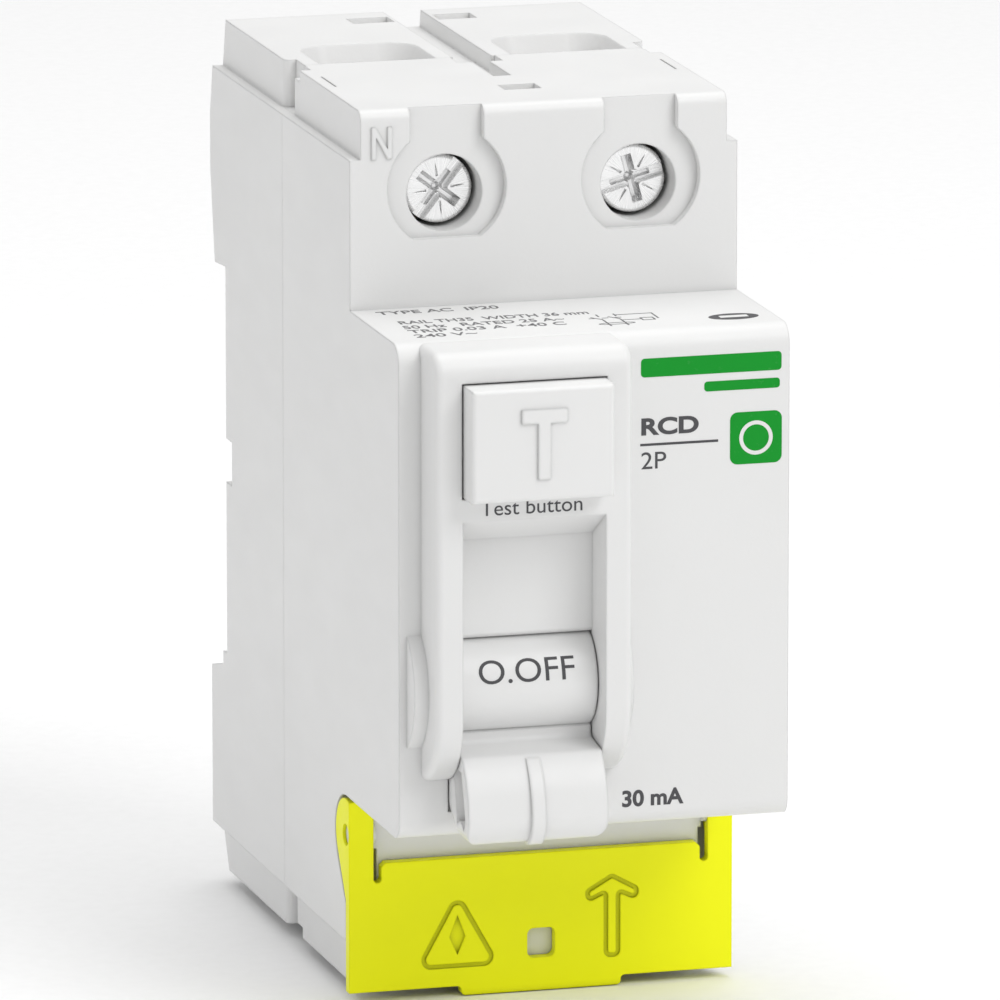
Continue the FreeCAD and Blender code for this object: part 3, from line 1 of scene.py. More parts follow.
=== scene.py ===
"""Looks of a two-pole residual current device: materials, printed marks, floor, light and camera.

Everything is in metres, in the CAD's own frame: +X right, +Y back to the wall, +Z up.
"""
import math
import bmesh
import bpy
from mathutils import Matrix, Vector


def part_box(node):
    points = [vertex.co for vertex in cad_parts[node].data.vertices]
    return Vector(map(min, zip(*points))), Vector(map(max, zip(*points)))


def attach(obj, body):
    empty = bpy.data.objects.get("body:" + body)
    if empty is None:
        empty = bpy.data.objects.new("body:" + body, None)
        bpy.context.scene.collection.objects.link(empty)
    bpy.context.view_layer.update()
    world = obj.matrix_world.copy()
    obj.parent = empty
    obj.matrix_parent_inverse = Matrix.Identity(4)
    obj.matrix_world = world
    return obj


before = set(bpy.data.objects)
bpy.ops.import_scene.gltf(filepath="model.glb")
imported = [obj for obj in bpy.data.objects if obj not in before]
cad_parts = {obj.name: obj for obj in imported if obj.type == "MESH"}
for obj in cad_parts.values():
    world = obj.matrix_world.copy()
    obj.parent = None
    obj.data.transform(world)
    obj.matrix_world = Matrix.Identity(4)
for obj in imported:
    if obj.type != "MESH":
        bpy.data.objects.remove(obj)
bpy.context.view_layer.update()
MM = 0.001

# ---------------------------------------------------------------- node helpers


class Surface:
    """A node-based material. Every call adds one node and returns the socket that carries its result."""

    def __init__(self, name):
        self.material = bpy.data.materials.new(name)
        self.material.use_nodes = True
        self.tree = self.material.node_tree
        self.tree.nodes.clear()
        self.output = self.tree.nodes.new("ShaderNodeOutputMaterial")
        self.shader = self.tree.nodes.new("ShaderNodeBsdfPrincipled")
        self.tree.links.new(self.shader.outputs[0], self.output.inputs["Surface"])
        self.place = self.tree.nodes.new("ShaderNodeTexCoord").outputs["Object"]

    def add(self, kind, result, inputs, **settings):
        node = self.tree.nodes.new("ShaderNode" + kind)
        for name, value in settings.items():
            setattr(node, name, value)
        for key, value in inputs.items():
            self.feed(node.inputs[key], value)
        return node.outputs[result]

    def feed(self, socket, value):
        if isinstance(value, bpy.types.NodeSocket):
            self.tree.links.new(value, socket)
        else:
            socket.default_value = value

    def set(self, **inputs):
        for name, value in inputs.items():
            self.feed(self.shader.inputs[name.replace("_", " ")], value)

    def stretched(self, scale):
        return self.add("Mapping", 0, {"Vector": self.place, "Scale": scale})

    def noise(self, scale, detail=2.0, roughness=0.5, vector=None):
        inputs = {"Vector": vector or self.place, "Scale": scale, "Detail": detail, "Roughness": roughness}
        return self.add("TexNoise", 0, inputs)

    def remap(self, value, low, high, first, last):
        inputs = {0: value, 1: low, 2: high, 3: first, 4: last}
        return self.add("MapRange", 0, inputs)

    def maths(self, operation, first, second=0.0):
        return self.add("Math", 0, {0: first, 1: second}, operation=operation)

    def blend(self, factor, first, second, kind="MIX"):
        inputs = {0: factor, 6: first, 7: second}
        return self.add("Mix", 2, inputs, data_type="RGBA", blend_type=kind)

    def normal(self, radius, *reliefs):
        """A rounded-edge normal with one bump on it for each (height, strength, distance)."""
        current = self.add("Bevel", 0, {"Radius": radius}, samples=6)
        for height, strength, distance in reliefs:
            inputs = {"Height": height, "Strength": strength, "Distance": distance, "Normal": current}
            current = self.add("Bump", 0, inputs)
        return current

    def edges(self, radius, reach):
        """1 along outer and inner edges, 0 on open faces."""
        rounded = self.add("Bevel", 0, {"Radius": radius}, samples=4)
        flat = self.add("NewGeometry", "Normal", {})
        dot = self.add("VectorMath", "Value", {0: rounded, 1: flat}, operation="DOT_PRODUCT")
        return self.remap(dot, 1.0 - reach, 1.0, 1.0, 0.0)

    def creases(self, distance):
        """0 deep in gaps and corners, 1 in the open."""
        return self.add("AmbientOcclusion", "AO", {"Distance": distance}, samples=6)


def rgb(*values):
    return (*values, 1.0)


def shade(colour, factor):
    return (*(min(1.0, value * factor) for value in colour[:3]), 1.0)


def moulded(name, colour, roughness=0.42, relief=0.5, edge=0.25, shine=0.5, glow=0.0, painted_crease_shade=0.4):
    """Injection-moulded plastic: faint flow marks, a fine grain, polished edges and painted shade darkening
    the creases.
    """
    surface = Surface(name)
    flow = surface.noise(38.0, 3.0, 0.55, surface.stretched((1.0, 1.0, 0.45)))
    cloud = surface.noise(9.0, 2.0)
    tint = surface.blend(surface.remap(flow, 0.3, 0.7, 0.0, 1.0), shade(colour, 0.975), shade(colour, 1.012))
    tint = surface.blend(surface.remap(cloud, 0.3, 0.7, 0.0, 0.35), tint, shade(colour, 0.985))
    rim = surface.edges(edge * MM, 0.2)
    wear = surface.maths("MULTIPLY", rim, surface.remap(surface.noise(420.0), 0.35, 0.7, 0.15, 1.0))
    tint = surface.blend(surface.maths("MULTIPLY", wear, 0.5), tint, shade(colour, 1.05))
    # painted shade: the colour darkens in creases and gaps where the ambient-occlusion mask finds little open
    # sky
    painted_shade_factor = surface.remap(surface.creases(0.8 * MM), 0.2, 0.9, painted_crease_shade, 0.0)
    tint = surface.blend(painted_shade_factor, tint, shade(colour, 0.45))
    scuffs = surface.noise(150.0, 4.0, 0.6, surface.stretched((1.0, 1.0, 2.6)))
    polish = surface.remap(scuffs, 0.35, 0.65, roughness - 0.05, roughness + 0.06)
    polish = surface.maths("SUBTRACT", polish, surface.maths("MULTIPLY", wear, 0.08))
    grain = surface.noise(2600.0, 2.0)
    waviness = surface.noise(75.0, 1.0)
    normal = surface.normal(edge * MM, (waviness, 0.25, 0.02 * MM), (grain, relief, 0.02 * MM))
    surface.set(Base_Color=tint, Roughness=polish, Normal=normal, IOR=1.5, Specular_IOR_Level=shine)
    if glow:
        surface.set(Subsurface_Weight=glow, Subsurface_Radius=(1.0, 0.95, 0.85), Subsurface_Scale=0.9 * MM)
    return surface.material


def rolled(name, colour, roughness=0.3, streak=(1.0, 1.0, 18.0), tarnish=None, edge=0.15):
    """Rolled, drawn or plated metal: long streaks, patches of tarnish and brighter worn edges."""
    surface = Surface(name)
    lines = surface.noise(900.0, 3.0, 0.6, surface.stretched(streak))
    patches = surface.noise(190.0, 4.0, 0.6)
    dull = tarnish or shade(colour, 0.72)
    tint = surface.blend(surface.remap(patches, 0.38, 0.72, 0.0, 0.75), colour, dull)
    tint = surface.blend(surface.remap(lines, 0.35, 0.65, 0.0, 0.3), tint, shade(colour, 0.85))
    worn = surface.edges(edge * MM, 0.25)
    tint = surface.blend(surface.maths("MULTIPLY", worn, 0.6), tint, shade(colour, 1.2))
    polish = surface.remap(lines, 0.3, 0.7, roughness - 0.06, roughness + 0.1)
    polish = surface.maths("ADD", polish, surface.remap(patches, 0.4, 0.7, 0.0, 0.12))
    normal = surface.normal(edge * MM, (lines, 0.35, 0.012 * MM), (patches, 0.2, 0.01 * MM))
    surface.set(Base_Color=tint, Metallic=1.0, Roughness=polish, Normal=normal)
    return surface.material


def turned(name, centre, colour, roughness=0.27):
    """A plated screw: fine lines that run out from its own axis, painted shade greying the recess, and bright
    on the rim.
    """
    surface = Surface(name)
    middle = (-centre[0], -centre[1], -centre[2])
    local = surface.add("VectorMath", 0, {0: surface.place, 1: middle}, operation="ADD")
    split = surface.tree.nodes.new("ShaderNodeSeparateXYZ")
    surface.feed(split.inputs[0], local)
    angle = surface.maths("ARCTAN2", split.outputs["Z"], split.outputs["X"])
    turns = surface.maths("MULTIPLY", angle, 26.0)
    spokes = surface.add("TexNoise", 0, {"W": turns, "Scale": 1.0, "Detail": 3.0}, noise_dimensions="1D")
    across = surface.maths("POWER", split.outputs["X"], 2.0)
    along = surface.maths("POWER", split.outputs["Z"], 2.0)
    reach = surface.maths("SQRT", surface.maths("ADD", across, along))
    steps = surface.maths("MULTIPLY", reach, 9000.0)
    rings = surface.add("TexNoise", 0, {"W": steps, "Scale": 1.0, "Detail": 1.0}, noise_dimensions="1D")
    patches = surface.noise(700.0, 3.0)
    tint = surface.blend(surface.remap(spokes, 0.3, 0.7, 0.0, 0.22), colour, shade(colour, 0.75))
    tint = surface.blend(surface.remap(patches, 0.4, 0.75, 0.0, 0.25), tint, shade(colour, 0.7))
    # painted shade: darker colour in the recess and other hollows, from the ambient-occlusion mask
    painted_crease_shade = surface.remap(surface.creases(0.8 * MM), 0.1, 0.6, 0.45, 0.0)
    tint = surface.blend(painted_crease_shade, tint, shade(colour, 0.4))
    worn = surface.edges(0.1 * MM, 0.3)
    tint = surface.blend(surface.maths("MULTIPLY", worn, 0.7), tint, shade(colour, 1.3))
    polish = surface.remap(spokes, 0.3, 0.7, roughness - 0.07, roughness + 0.1)
    normal = surface.normal(0.1 * MM, (spokes, 0.2, 0.02 * MM), (rings, 0.15, 0.012 * MM))
    surface.set(Base_Color=tint, Metallic=1.0, Roughness=polish, Normal=normal)
    return surface.material


def wound(name, colour, painted_gap_shade, pitch, axis, roughness=0.28):
    """Enamelled wire laid side by side: painted shade darkens the gaps between the round turns."""
    surface = Surface(name)
    inputs = {"Vector": surface.place, "Scale": math.pi / (10.0 * pitch), "Distortion": 0.4}
    wave = surface.add("TexWave", 1, inputs, wave_type="BANDS", bands_direction=axis, wave_profile="SIN")
    cloud = surface.noise(500.0, 3.0)
    # painted shade: the colour falls from each turn's crest to a dark copy in the gap between turns
    tint = surface.blend(surface.remap(wave, 0.1, 0.55, 0.0, 1.0), painted_gap_shade, colour)
    tint = surface.blend(surface.remap(cloud, 0.4, 0.7, 0.0, 0.35), tint, shade(colour, 0.7))
    polish = surface.remap(cloud, 0.3, 0.7, roughness - 0.05, roughness + 0.1)
    normal = surface.normal(0.1 * MM, (wave, 0.8, 0.08 * MM))
    surface.set(Base_Color=tint, Metallic=0.75, Roughness=polish, Normal=normal)
    surface.set(Coat_Weight=0.5, Coat_Roughness=0.15)
    return surface.material


def sleeved(name, colour, roughness=0.45):
    """Soft wire insulation: slightly mottled, with fine drawing lines and a satin sheen."""
    surface = Surface(name)
    mottle = surface.noise(260.0, 3.0)
    lines = surface.noise(1500.0, 2.0, 0.5, surface.stretched((1.0, 0.2, 0.2)))
    tint = surface.blend(surface.remap(mottle, 0.35, 0.7, 0.0, 0.6), colour, shade(colour, 0.78))
    # painted shade: the colour darkens in creases and gaps, from the ambient-occlusion mask
    painted_shade_factor = surface.remap(surface.creases(1.0 * MM), 0.3, 0.9, 0.35, 0.0)
    tint = surface.blend(painted_shade_factor, tint, shade(colour, 0.5))
    polish = surface.remap(lines, 0.3, 0.7, roughness - 0.08, roughness + 0.08)
    normal = surface.normal(0.05 * MM, (lines, 0.3, 0.02 * MM), (mottle, 0.2, 0.02 * MM))
    surface.set(Base_Color=tint, Roughness=polish, Normal=normal, Sheen_Weight=0.1)
    return surface.material


def fibrous(name, colour, dark):
    """Pressed insulating card with fibres lying along the sheet."""
    surface = Surface(name)
    fibres = surface.noise(1600.0, 4.0, 0.65, surface.stretched((1.0, 0.16, 1.0)))
    blotches = surface.noise(300.0, 3.0)
    tint = surface.blend(surface.remap(fibres, 0.35, 0.65, 0.0, 1.0), colour, dark)
    tint = surface.blend(surface.remap(blotches, 0.4, 0.7, 0.0, 0.5), tint, shade(dark, 0.8))
    normal = surface.normal(0.05 * MM, (fibres, 0.7, 0.04 * MM))
    surface.set(Base_Color=tint, Roughness=surface.remap(fibres, 0.3, 0.7, 0.7, 0.92), Normal=normal)
    return surface.material


def layered(name, centre, colour, dark):
    """A core of wound metal strip: rings round its own axis, darker with oxide in patches."""
    surface = Surface(name)
    middle = (-centre[0], -centre[1], -centre[2])
    local = surface.add("VectorMath", 0, {0: surface.place, 1: middle}, operation="ADD")
    rings = surface.add("TexWave", 1, {"Vector": local, "Scale": 900.0, "Distortion": 0.6},
                        wave_type="RINGS", rings_direction="Y")
    patches = surface.noise(240.0, 3.0)
    tint = surface.blend(surface.remap(rings, 0.2, 0.8, 0.0, 1.0), colour, dark)
    tint = surface.blend(surface.remap(patches, 0.4, 0.7, 0.0, 0.6), tint, dark)
    normal = surface.normal(0.1 * MM, (rings, 0.4, 0.03 * MM))
    polish = surface.remap(patches, 0.3, 0.7, 0.35, 0.55)
    surface.set(Base_Color=tint, Metallic=0.85, Roughness=polish, Normal=normal)
    return surface.material


def printed_board(name, mask, copper, weave):
    """A circuit board: solder mask with buried tracks, drilled-looking pads and a glass weave."""
    surface = Surface(name)
    sizes = {"Scale": 260.0, "Mortar Size": 0.06, "Mortar Smooth": 0.2, "Brick Width": 1.4, "Row Height": 0.6}
    tracks = surface.add("TexBrick", 1, {"Vector": surface.place, **sizes})
    cells = surface.add("TexVoronoi", 0, {"Vector": surface.place, "Scale": 330.0, "Randomness": 0.35})
    pads = surface.remap(cells, 0.16, 0.2, 1.0, 0.0)
    cloth = surface.add("TexChecker", 1, {"Vector": surface.place, "Scale": 3200.0})
    tint = surface.blend(surface.maths("MULTIPLY", tracks, 0.5), mask, shade(mask, 1.7))
    tint = surface.blend(surface.maths("MULTIPLY", cloth, 0.08), tint, weave)
    tint = surface.blend(pads, tint, copper)
    normal = surface.normal(0.05 * MM, (tracks, 0.4, 0.03 * MM), (cloth, 0.1, 0.01 * MM))
    surface.set(Base_Color=tint, Metallic=surface.maths("MULTIPLY", pads, 0.9), Normal=normal)
    surface.set(Coat_Weight=0.4, Roughness=surface.remap(surface.noise(400.0), 0.3, 0.7, 0.25, 0.4))
    return surface.material


def banded(name, body, bands, axis, low, high, roughness=0.4):
    """A small moulded component with printed bands at fractions of its own length."""
    surface = Surface(name)
    split = surface.tree.nodes.new("ShaderNodeSeparateXYZ")
    surface.feed(split.inputs[0], surface.place)
    part = surface.remap(split.outputs[axis], low, high, 0.0, 1.0)
    mottle = surface.noise(600.0, 3.0)
    tint = surface.blend(surface.remap(mottle, 0.35, 0.7, 0.0, 0.5), body, shade(body, 0.75))
    for first, last, colour in bands:
        after_first = surface.maths("GREATER_THAN", part, first)
        inside = surface.maths("MULTIPLY", after_first, surface.maths("LESS_THAN", part, last))
        tint = surface.blend(inside, tint, colour)
    normal = surface.normal(0.15 * MM, (mottle, 0.25, 0.02 * MM))
    polish = surface.remap(mottle, 0.3, 0.7, roughness - 0.08, roughness + 0.1)
    surface.set(Base_Color=tint, Roughness=polish, Normal=normal)
    return surface.material


def ink(name, colour):
    """Pad-printed ink: slightly uneven cover and a satin face."""
    surface = Surface(name)
    cover = surface.noise(1800.0, 4.0, 0.65)
    cloud = surface.noise(300.0, 2.0)
    tint = surface.blend(surface.remap(cover, 0.62, 0.85, 0.0, 0.08), colour, rgb(0.8, 0.8, 0.79))
    tint = surface.blend(surface.remap(cloud, 0.35, 0.7, 0.0, 0.25), tint, shade(colour, 0.9))
    normal = surface.normal(0.01 * MM, (cover, 0.3, 0.01 * MM))
    polish = surface.remap(cover, 0.3, 0.7, 0.42, 0.6)
    surface.set(Base_Color=tint, Roughness=polish, Normal=normal, Specular_IOR_Level=0.2)
    return surface.material


# ---------------------------------------------------------------- materials of the CAD nodes

WHITE = rgb(0.80, 0.80, 0.795)
ZINC = rgb(0.93, 0.93, 0.93)
STEEL = rgb(0.52, 0.52, 0.53)
COPPER = rgb(0.83, 0.42, 0.26)
ENAMEL = rgb(0.62, 0.22, 0.08)


def middle_of(node):
    low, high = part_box(node)
    return (low + high) / 2


shell_white = moulded("shell_white", WHITE, 0.44, 0.45, 0.3, glow=0.04)
control_white = moulded("control_white", rgb(0.81, 0.81, 0.805), 0.36, 0.25, 0.45, glow=0.04)
flap_yellow = moulded("flap_yellow", rgb(0.98, 1.0, 0.001), 0.42, 0.4, 0.2, shine=0.25, painted_crease_shade=0.85)
clip_grey = moulded("clip_grey", rgb(0.70, 0.70, 0.70), 0.5, 0.6, 0.3)
inner_grey = moulded("inner_grey", rgb(0.28, 0.29, 0.3), 0.5, 0.5, 0.2)
carrier_black = moulded("carrier_black", rgb(0.035, 0.035, 0.04), 0.5, 0.6, 0.2)
frame_steel = rolled("frame_steel", STEEL, 0.34)
cage_zinc = rolled("cage_zinc", rgb(0.66, 0.65, 0.6), 0.33, (1.0, 14.0, 1.0), rgb(0.5, 0.47, 0.38))
pin_steel = rolled("pin_steel", rgb(0.62, 0.62, 0.63), 0.22, (14.0, 1.0, 1.0))
spring_steel = rolled("spring_steel", rgb(0.56, 0.57, 0.6), 0.26, (3.0, 3.0, 3.0))
bar_copper = rolled("bar_copper", COPPER, 0.3, (1.0, 1.0, 16.0), rgb(0.52, 0.24, 0.14))
tip_silver = rolled("tip_silver", rgb(0.85, 0.84, 0.8), 0.25, (3.0, 3.0, 3.0), rgb(0.5, 0.47, 0.42))
blade_bronze = rolled("blade_bronze", rgb(0.72, 0.5, 0.26), 0.3, (12.0, 1.0, 1.0), rgb(0.5, 0.33, 0.17))
card_fibre = fibrous("card_fibre", rgb(0.42, 0.13, 0.06), rgb(0.26, 0.07, 0.035))

FINISHES = {
    shell_white: ("rear_case", "front_cover"),
    control_white: ("handle", "test_button"),
    flap_yellow: ("terminal_flap",),
    clip_grey: ("rail_clip",),
    inner_grey: ("trip_lever", "sensor_shell", "relay_body"),
    carrier_black: ("contact_carrier",),
    frame_steel: ("mechanism_frame", "arc_plates", "relay_yoke", "relay_plunger"),
    cage_zinc: tuple(f"terminal_cage_{end}_{pole}" for end in ("top", "bottom") for pole in ("n", "l")),
    pin_steel: ("handle_axle", "carrier_pin", "carrier_link_pin", "link_rod", "trip_pin", "case_screws"),
    spring_steel: ("handle_spring", "test_button_spring", "relay_spring", "rail_clip_spring"),
    bar_copper: ("fixed_contact_n", "fixed_contact_l", "lower_bar_n", "lower_bar_l",
                 "moving_contact_n", "moving_contact_l"),
    tip_silver: ("fixed_contact_tips", "moving_contact_tips"),
    blade_bronze: ("test_blade", "test_contact"),
    card_fibre: ("arc_chute_cards",),
}


def finish_node(node, material):
    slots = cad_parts[node].data.materials
    slots.clear()
    slots.append(material)


for material, members in FINISHES.items():
    for member in members:
        finish_node(member, material)

for end in ("top", "bottom"):
    for pole in ("n", "l"):
        node = f"terminal_screw_{end}_{pole}"
        finish_node(node, turned("screw_zinc_" + end + "_" + pole, middle_of(node), ZINC))

sensor_middle = middle_of("sensor_core")
finish_node("sensor_core", layered("core_strip", sensor_middle, rgb(0.3, 0.29, 0.28), rgb(0.1, 0.1, 0.105)))
wire = wound("sensor_wire", rgb(0.7, 0.27, 0.09), rgb(0.1, 0.03, 0.01), 0.25 * MM, "Y")
finish_node("sensor_winding", wire)
finish_node("relay_coil", wound("coil_wire", ENAMEL, rgb(0.08, 0.02, 0.01), 0.22 * MM, "Z"))
finish_node("flexible_lead_n", sleeved("lead_blue", rgb(0.03, 0.12, 0.5)))
finish_node("flexible_lead_l", sleeved("lead_brown", rgb(0.17, 0.055, 0.02)))
finish_node("signal_wires", sleeved("wire_red", rgb(0.55, 0.02, 0.02)))
board_colours = (rgb(0.015, 0.13, 0.045), rgb(0.78, 0.66, 0.38), rgb(0.35, 0.42, 0.2))
finish_node("circuit_board", printed_board("board_green", *board_colours))


def finish_component(node, body, bands, axis):
    low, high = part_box(node)
    number = "XYZ".index(axis)
    finish_node(node, banded(node + "_paint", body, bands, axis, low[number], high[number]))


finish_component("board_capacitors", rgb(0.02, 0.03, 0.11), [(0.9, 1.1, rgb(0.6, 0.6, 0.62))], "Y")
finish_component("board_diodes", rgb(0.02, 0.02, 0.022), [(0.78, 0.9, rgb(0.7, 0.7, 0.7))], "X")
finish_component("test_resistor", rgb(0.62, 0.48, 0.3), [
    (0.3, 0.36, rgb(0.25, 0.08, 0.02)),
    (0.42, 0.48, rgb(0.02, 0.02, 0.02)),
    (0.54, 0.6, rgb(0.6, 0.15, 0.02)),
    (0.66, 0.7, rgb(0.6, 0.42, 0.08)),
], "Z")

# ---------------------------------------------------------------- printed marks

NOSE_FACE = 60.3
BEZEL_FACE = 65.4
NOSE_TOP = 22.4
HANDLE_DEPTH = 58.65
HANDLE_HEIGHT = -8.5
DRUM_RADIUS = 4.6
PRINT_SUNK = -0.03
PRINT_PROUD = 0.02
INK_LAYER = 0.02
LETTER_WELD = 0.0004
SMALL_PRINT_HEIGHT = 1.3
DIAGRAM_LINE = 0.15

grey_ink = ink("grey_ink", rgb(0.085, 0.085, 0.09))
small_ink = ink("small_ink", rgb(0.16, 0.16, 0.165))
green_ink = ink("green_ink", rgb(0.003, 0.3, 0.022))
white_ink = ink("white_ink", rgb(0.8, 0.8, 0.79))


def on_front(depth):
    """Print on a face that looks forward, at that depth."""
    return lambda across, up, proud: (across, -depth - proud, up)


def on_nose_top(across, up, proud):
    return (across, up, NOSE_TOP + proud)


def above(spot):
    """The same place, just clear of ink that is already there."""
    return lambda across, up, proud: spot(across, up, proud + INK_LAYER)


def on_drum(turn):
    """Print that wraps the handle's drum, centred that many degrees above straight ahead."""
    def spot(across, up, proud):
        angle = math.radians(turn) + up / DRUM_RADIUS
        reach = DRUM_RADIUS + proud
        return (across, -HANDLE_DEPTH - reach * math.cos(angle), HANDLE_HEIGHT + reach * math.sin(angle))
    return spot


def add_print(name, shape, spot, material, body="case"):
    """Turns a bmesh drawn in millimetres, across and up with thickness 0 to 1, into a print on a surface."""
    for vertex in shape.verts:
        proud = PRINT_SUNK if vertex.co.z < 0.5 else PRINT_PROUD
        vertex.co = Vector(spot(vertex.co.x, vertex.co.y, proud)) * MM
    bmesh.ops.recalc_face_normals(shape, faces=shape.faces)
    mesh = bpy.data.meshes.new(name)
    shape.to_mesh(mesh)
    shape.free()
    mesh.materials.append(material)
    piece = bpy.data.objects.new(name, mesh)
    bpy.context.scene.collection.objects.link(piece)
    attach(piece, body)
    return piece


def thicken(shape):
    """Gives a flat bmesh at height 0 a thickness of 1."""
    made = bmesh.ops.extrude_face_region(shape, geom=list(shape.faces))
    lifted = [item for item in made["geom"] if isinstance(item, bmesh.types.BMVert)]
    bmesh.ops.translate(shape, verts=lifted, vec=(0, 0, 1))
    return shape


def flat_shape(*outlines):
    shape = bmesh.new()
    for outline in outlines:
        shape.faces.new([shape.verts.new((*point, 0)) for point in outline])
    return thicken(shape)


def ring_shape(centre, outer, inner, count=48):
    """A flat ring between two ellipses, each given as (half width, half height)."""
    shape = bmesh.new()
    loops = []
    for half_width, half_height in (outer, inner):
        loop = []
        for step in range(count):
            angle = 2 * math.pi * step / count
            across = centre[0] + half_width * math.cos(angle)
            up = centre[1] + half_height * math.sin(angle)
            loop.append(shape.verts.new((across, up, 0)))
        loops.append(loop)
    for step in range(count):
        after = (step + 1) % count
        shape.faces.new([loops[0][step], loops[0][after], loops[1][after], loops[1][step]])
    return thicken(shape)


def rounded_outline(left, right, low, high, radius, steps=6):
    points = []
    corners = ((right - radius, low + radius, -90), (right - radius, high - radius, 0),
               (left + radius, high - radius, 90), (left + radius, low + radius, 180))
    for across, up, start in corners:
        for step in range(steps + 1):
            angle = math.radians(start + 90 * step / steps)
            points.append((across + radius * math.cos(angle), up + radius * math.sin(angle)))
    return points


def ellipse(centre, half_width, half_height, count=40):
    angles = [2 * math.pi * step / count for step in range(count)]
    across = [centre[0] + half_width * math.cos(turn) for turn in angles]
    up = [centre[1] + half_height * math.sin(turn) for turn in angles]
    return list(zip(across, up))


def stroke(first, last, width):
    """A straight line of that width between two points."""
    run, rise = last[0] - first[0], last[1] - first[1]
    length = math.hypot(run, rise)
    side = (-rise / length * width / 2, run / length * width / 2)
    return [(first[0] + side[0], first[1] + side[1]), (first[0] - side[0], first[1] - side[1]),
            (last[0] - side[0], last[1] - side[1]), (last[0] + side[0], last[1] + side[1])]


def letters(words, boldness=0.0):
    """The words as a closed bmesh whose capitals are 1 high, standing on 0 and starting at 0."""
    def drawn(text):
        curve = bpy.data.curves.new("words", "FONT")
        curve.body = text
        curve.extrude = 0.5
        curve.offset = boldness
        curve.resolution_u = 6
        carrier = bpy.data.objects.new("words", curve)
        bpy.context.scene.collection.objects.link(carrier)
        bpy.context.view_layer.update()
        filled = bpy.data.meshes.new_from_object(carrier.evaluated_get(bpy.context.evaluated_depsgraph_get()))
        shape = bmesh.new()
        shape.from_mesh(filled)
        bpy.data.meshes.remove(filled)
        bpy.data.objects.remove(carrier)
        bpy.data.curves.remove(curve)
        return shape

    gauge = drawn("H")
    low, high = min(v.co.y for v in gauge.verts), max(v.co.y for v in gauge.verts)
    gauge.free()
    shape = drawn(words)
    left = min(v.co.x for v in shape.verts)
    for vertex in shape.verts:
        across = (vertex.co.x - left) / (high - low)
        up = (vertex.co.y - low) / (high - low)
        vertex.co = (across, up, vertex.co.z + 0.5)
    bmesh.ops.remove_doubles(shape, verts=shape.verts, dist=LETTER_WELD)
    bmesh.ops.dissolve_degenerate(shape, edges=shape.edges, dist=LETTER_WELD)
    return shape


def lettering(name, words, left, right, base, height, spot, material, body="case", boldness=0.0, bands=0):
    """Words whose capitals stand on base, stretched to run from left to right."""
    shape = letters(words, boldness)
    width = max(v.co.x for v in shape.verts)
    for vertex in shape.verts:
        vertex.co.x = left + vertex.co.x * (right - left) / width
        vertex.co.y = base + vertex.co.y * height
    for band in range(1, bands):
        level = base + height * band / bands
        geometry = list(shape.verts) + list(shape.edges) + list(shape.faces)
        bmesh.ops.bisect_plane(shape, geom=geometry, plane_co=(0, level, 0), plane_no=(0, 1, 0))
    return add_print(name, shape, spot, material, body)


nose = on_front(NOSE_FACE)
add_print("mark_bar_long", flat_shape(rounded_outline(4.25, 17.25, 18.35, 20.05, 0.35)), nose, green_ink)
add_print("mark_bar_short", flat_shape(rounded_outline(10.1, 17.1, 16.75, 17.65, 0.3)), nose, green_ink)
lettering("type_letters", "RCD", 4.3, 9.6, 13.1, 1.55, nose, grey_ink, boldness=0.035)
add_print("type_rule", flat_shape(stroke((4.2, 12.25), (11.4, 12.25), 0.22)), nose, grey_ink)
lettering("pole_letters", "2P", 4.3, 6.6, 10.05, 1.5, nose, grey_ink)
add_print("badge_square", flat_shape(rounded_outline(12.5, 17.3, 9.97, 14.7, 0.7)), nose, green_ink)
lettering("sensitivity_letters", "30 mA", 2.6, 8.3, -20.65, 1.5, nose, grey_ink, boldness=0.03)
lettering("test_letters", "Test button", -11.9, -2.6, 7.85, 1.3, on_front(BEZEL_FACE), grey_ink)
lettering("off_letters", "O.OFF", -11.4, -2.6, -1.0, 2.1, on_drum(20.0), grey_ink, "handle", 0.0, 8)
badge = ring_shape((14.9, 12.33), (1.55, 1.55), (1.2, 1.2))
add_print("badge_ring", badge, above(nose), white_ink)

# small print along the top of the nose, read from above
for name, words, left, right, base in (
    ("rating_line_a", "TYPE AC  IP20", -16.0, -4.8, -46.5),
    ("rating_line_b", "RAIL TH35  WIDTH 36 mm", -15.2, 2.2, -51.0),
    ("rating_line_c", "50 Hz   RATED 25 A~", -15.4, -0.6, -53.1),
    ("rating_line_d", "TRIP 0.03 A  +40 C", -15.4, -1.0, -55.0),
    ("rating_line_e", "240 V~", -15.4, -9.7, -57.0),
):
    lettering(name, words, left, right, base, SMALL_PRINT_HEIGHT, on_nose_top, small_ink, boldness=0.01)

diagram = []
for across in (2.6, 4.2):
    diagram.append(stroke((across, -51.6), (across, -52.6), DIAGRAM_LINE))
    diagram.append(stroke((across - 0.8, -52.7), (across, -53.8), DIAGRAM_LINE))
    diagram.append(stroke((across, -53.9), (across, -56.7), DIAGRAM_LINE))
for across in (1.5, 2.7, 3.9):
    diagram.append(stroke((across, -53.2), (across + 0.6, -53.2), DIAGRAM_LINE))
diagram.append(stroke((4.2, -54.4), (6.0, -54.4), DIAGRAM_LINE))
diagram.append(stroke((7.6, -54.4), (7.6, -52.0), DIAGRAM_LINE))
diagram.append(stroke((4.2, -52.1), (7.6, -52.1), DIAGRAM_LINE))
for up in (-53.9, -54.9):
    diagram.append(stroke((6.0, up), (7.2, up), DIAGRAM_LINE))
for across in (6.05, 7.15):
    diagram.append(stroke((across, -53.9), (across, -54.9), DIAGRAM_LINE))
add_print("wiring_diagram", flat_shape(*diagram), on_nose_top, small_ink)
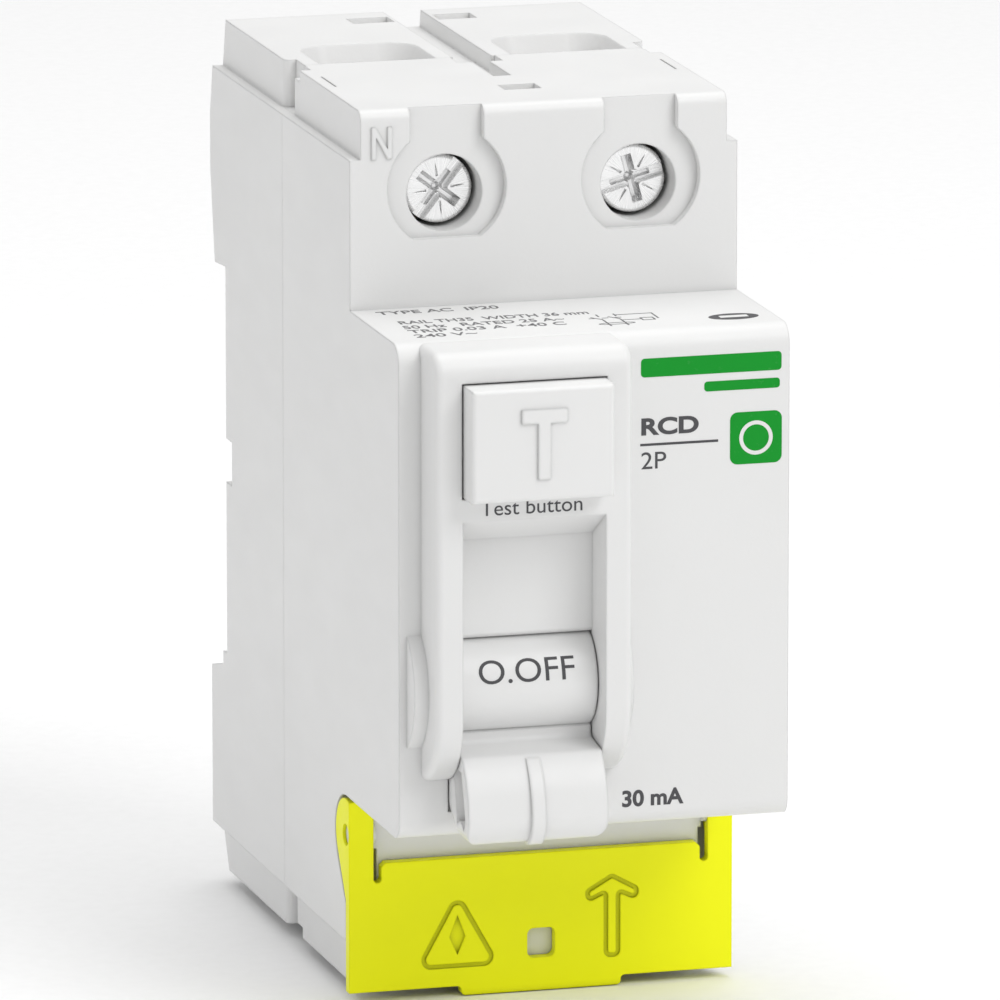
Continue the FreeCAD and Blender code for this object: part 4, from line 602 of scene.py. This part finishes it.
add_print("wiring_ring", ring_shape((3.4, -55.7), (1.7, 0.42), (1.55, 0.28)), on_nose_top, small_ink)
add_print("top_oval", flat_shape(ellipse((14.2, -55.6), 2.3, 1.3)), on_nose_top, grey_ink)
oval_bar = flat_shape(stroke((12.9, -55.6), (15.5, -55.6), 0.8))
add_print("top_oval_bar", oval_bar, above(on_nose_top), white_ink)

# ---------------------------------------------------------------- floor, light and camera

FLOOR_HEIGHT = -41.6 * MM
FLOOR_HALF = 6.0


def add_floor():
    shape = bmesh.new()
    corners = [(-1, -1), (1, -1), (1, 1), (-1, 1)]
    shape.faces.new([shape.verts.new((FLOOR_HALF * x, FLOOR_HALF * y, FLOOR_HEIGHT)) for x, y in corners])
    mesh = bpy.data.meshes.new("floor")
    shape.to_mesh(mesh)
    shape.free()
    surface = Surface("floor_paper")
    fibres = surface.noise(700.0, 3.0)
    mix = surface.remap(fibres, 0.3, 0.7, 0.0, 1.0)
    tint = surface.blend(mix, rgb(0.93, 0.93, 0.93), rgb(0.95, 0.95, 0.95))
    surface.set(Base_Color=tint, Roughness=0.95, Specular_IOR_Level=0.1)
    mesh.materials.append(surface.material)
    floor = bpy.data.objects.new("floor", mesh)
    bpy.context.scene.collection.objects.link(floor)


def aim(item, place, target):
    item.location = place
    item.rotation_mode = "QUATERNION"
    item.rotation_quaternion = (Vector(target) - Vector(place)).to_track_quat("-Z", "Y")


def add_softbox(name, place, target, width, height, power, colour=(1.0, 1.0, 1.0)):
    light = bpy.data.lights.new(name, "AREA")
    light.shape = "RECTANGLE"
    light.size = width
    light.size_y = height
    light.energy = power
    light.color = colour
    item = bpy.data.objects.new(name, light)
    bpy.context.scene.collection.objects.link(item)
    aim(item, place, target)


def add_world(strength):
    world = bpy.data.worlds.new("studio")
    world.use_nodes = True
    background = world.node_tree.nodes["Background"]
    background.inputs["Color"].default_value = rgb(1.0, 1.0, 1.0)
    background.inputs["Strength"].default_value = strength
    bpy.context.scene.world = world


CAMERA_AZIMUTH = math.radians(15.774)
CAMERA_ELEVATION = math.radians(12.407)
CAMERA_DISTANCE = 1.2295
CAMERA_TARGET = Vector((8.333, 0.0, -5.734)) * MM
CAMERA_LENS = 474.8


def add_camera():
    data = bpy.data.cameras.new("camera")
    data.sensor_width = 36.0
    data.lens = CAMERA_LENS
    data.clip_start = 0.05
    data.clip_end = 30.0
    camera = bpy.data.objects.new("camera", data)
    bpy.context.scene.collection.objects.link(camera)
    back = Vector((
        -math.sin(CAMERA_AZIMUTH) * math.cos(CAMERA_ELEVATION),
        -math.cos(CAMERA_AZIMUTH) * math.cos(CAMERA_ELEVATION),
        math.sin(CAMERA_ELEVATION),
    ))
    aim(camera, CAMERA_TARGET + back * CAMERA_DISTANCE, CAMERA_TARGET)
    bpy.context.scene.camera = camera


OBJECT_MIDDLE = (0.0, -0.034, 0.0)
add_floor()
add_world(0.55)
add_softbox("key", (0.55, -0.9, 0.95), OBJECT_MIDDLE, 0.7, 0.7, 6.5)
add_softbox("fill", (-0.9, -0.7, 0.45), OBJECT_MIDDLE, 0.8, 0.8, 0.3)
add_softbox("overhead", (0.0, 0.15, 1.1), OBJECT_MIDDLE, 0.9, 0.9, 6.0)
add_camera()
bpy.context.scene.view_settings.view_transform = "Standard"
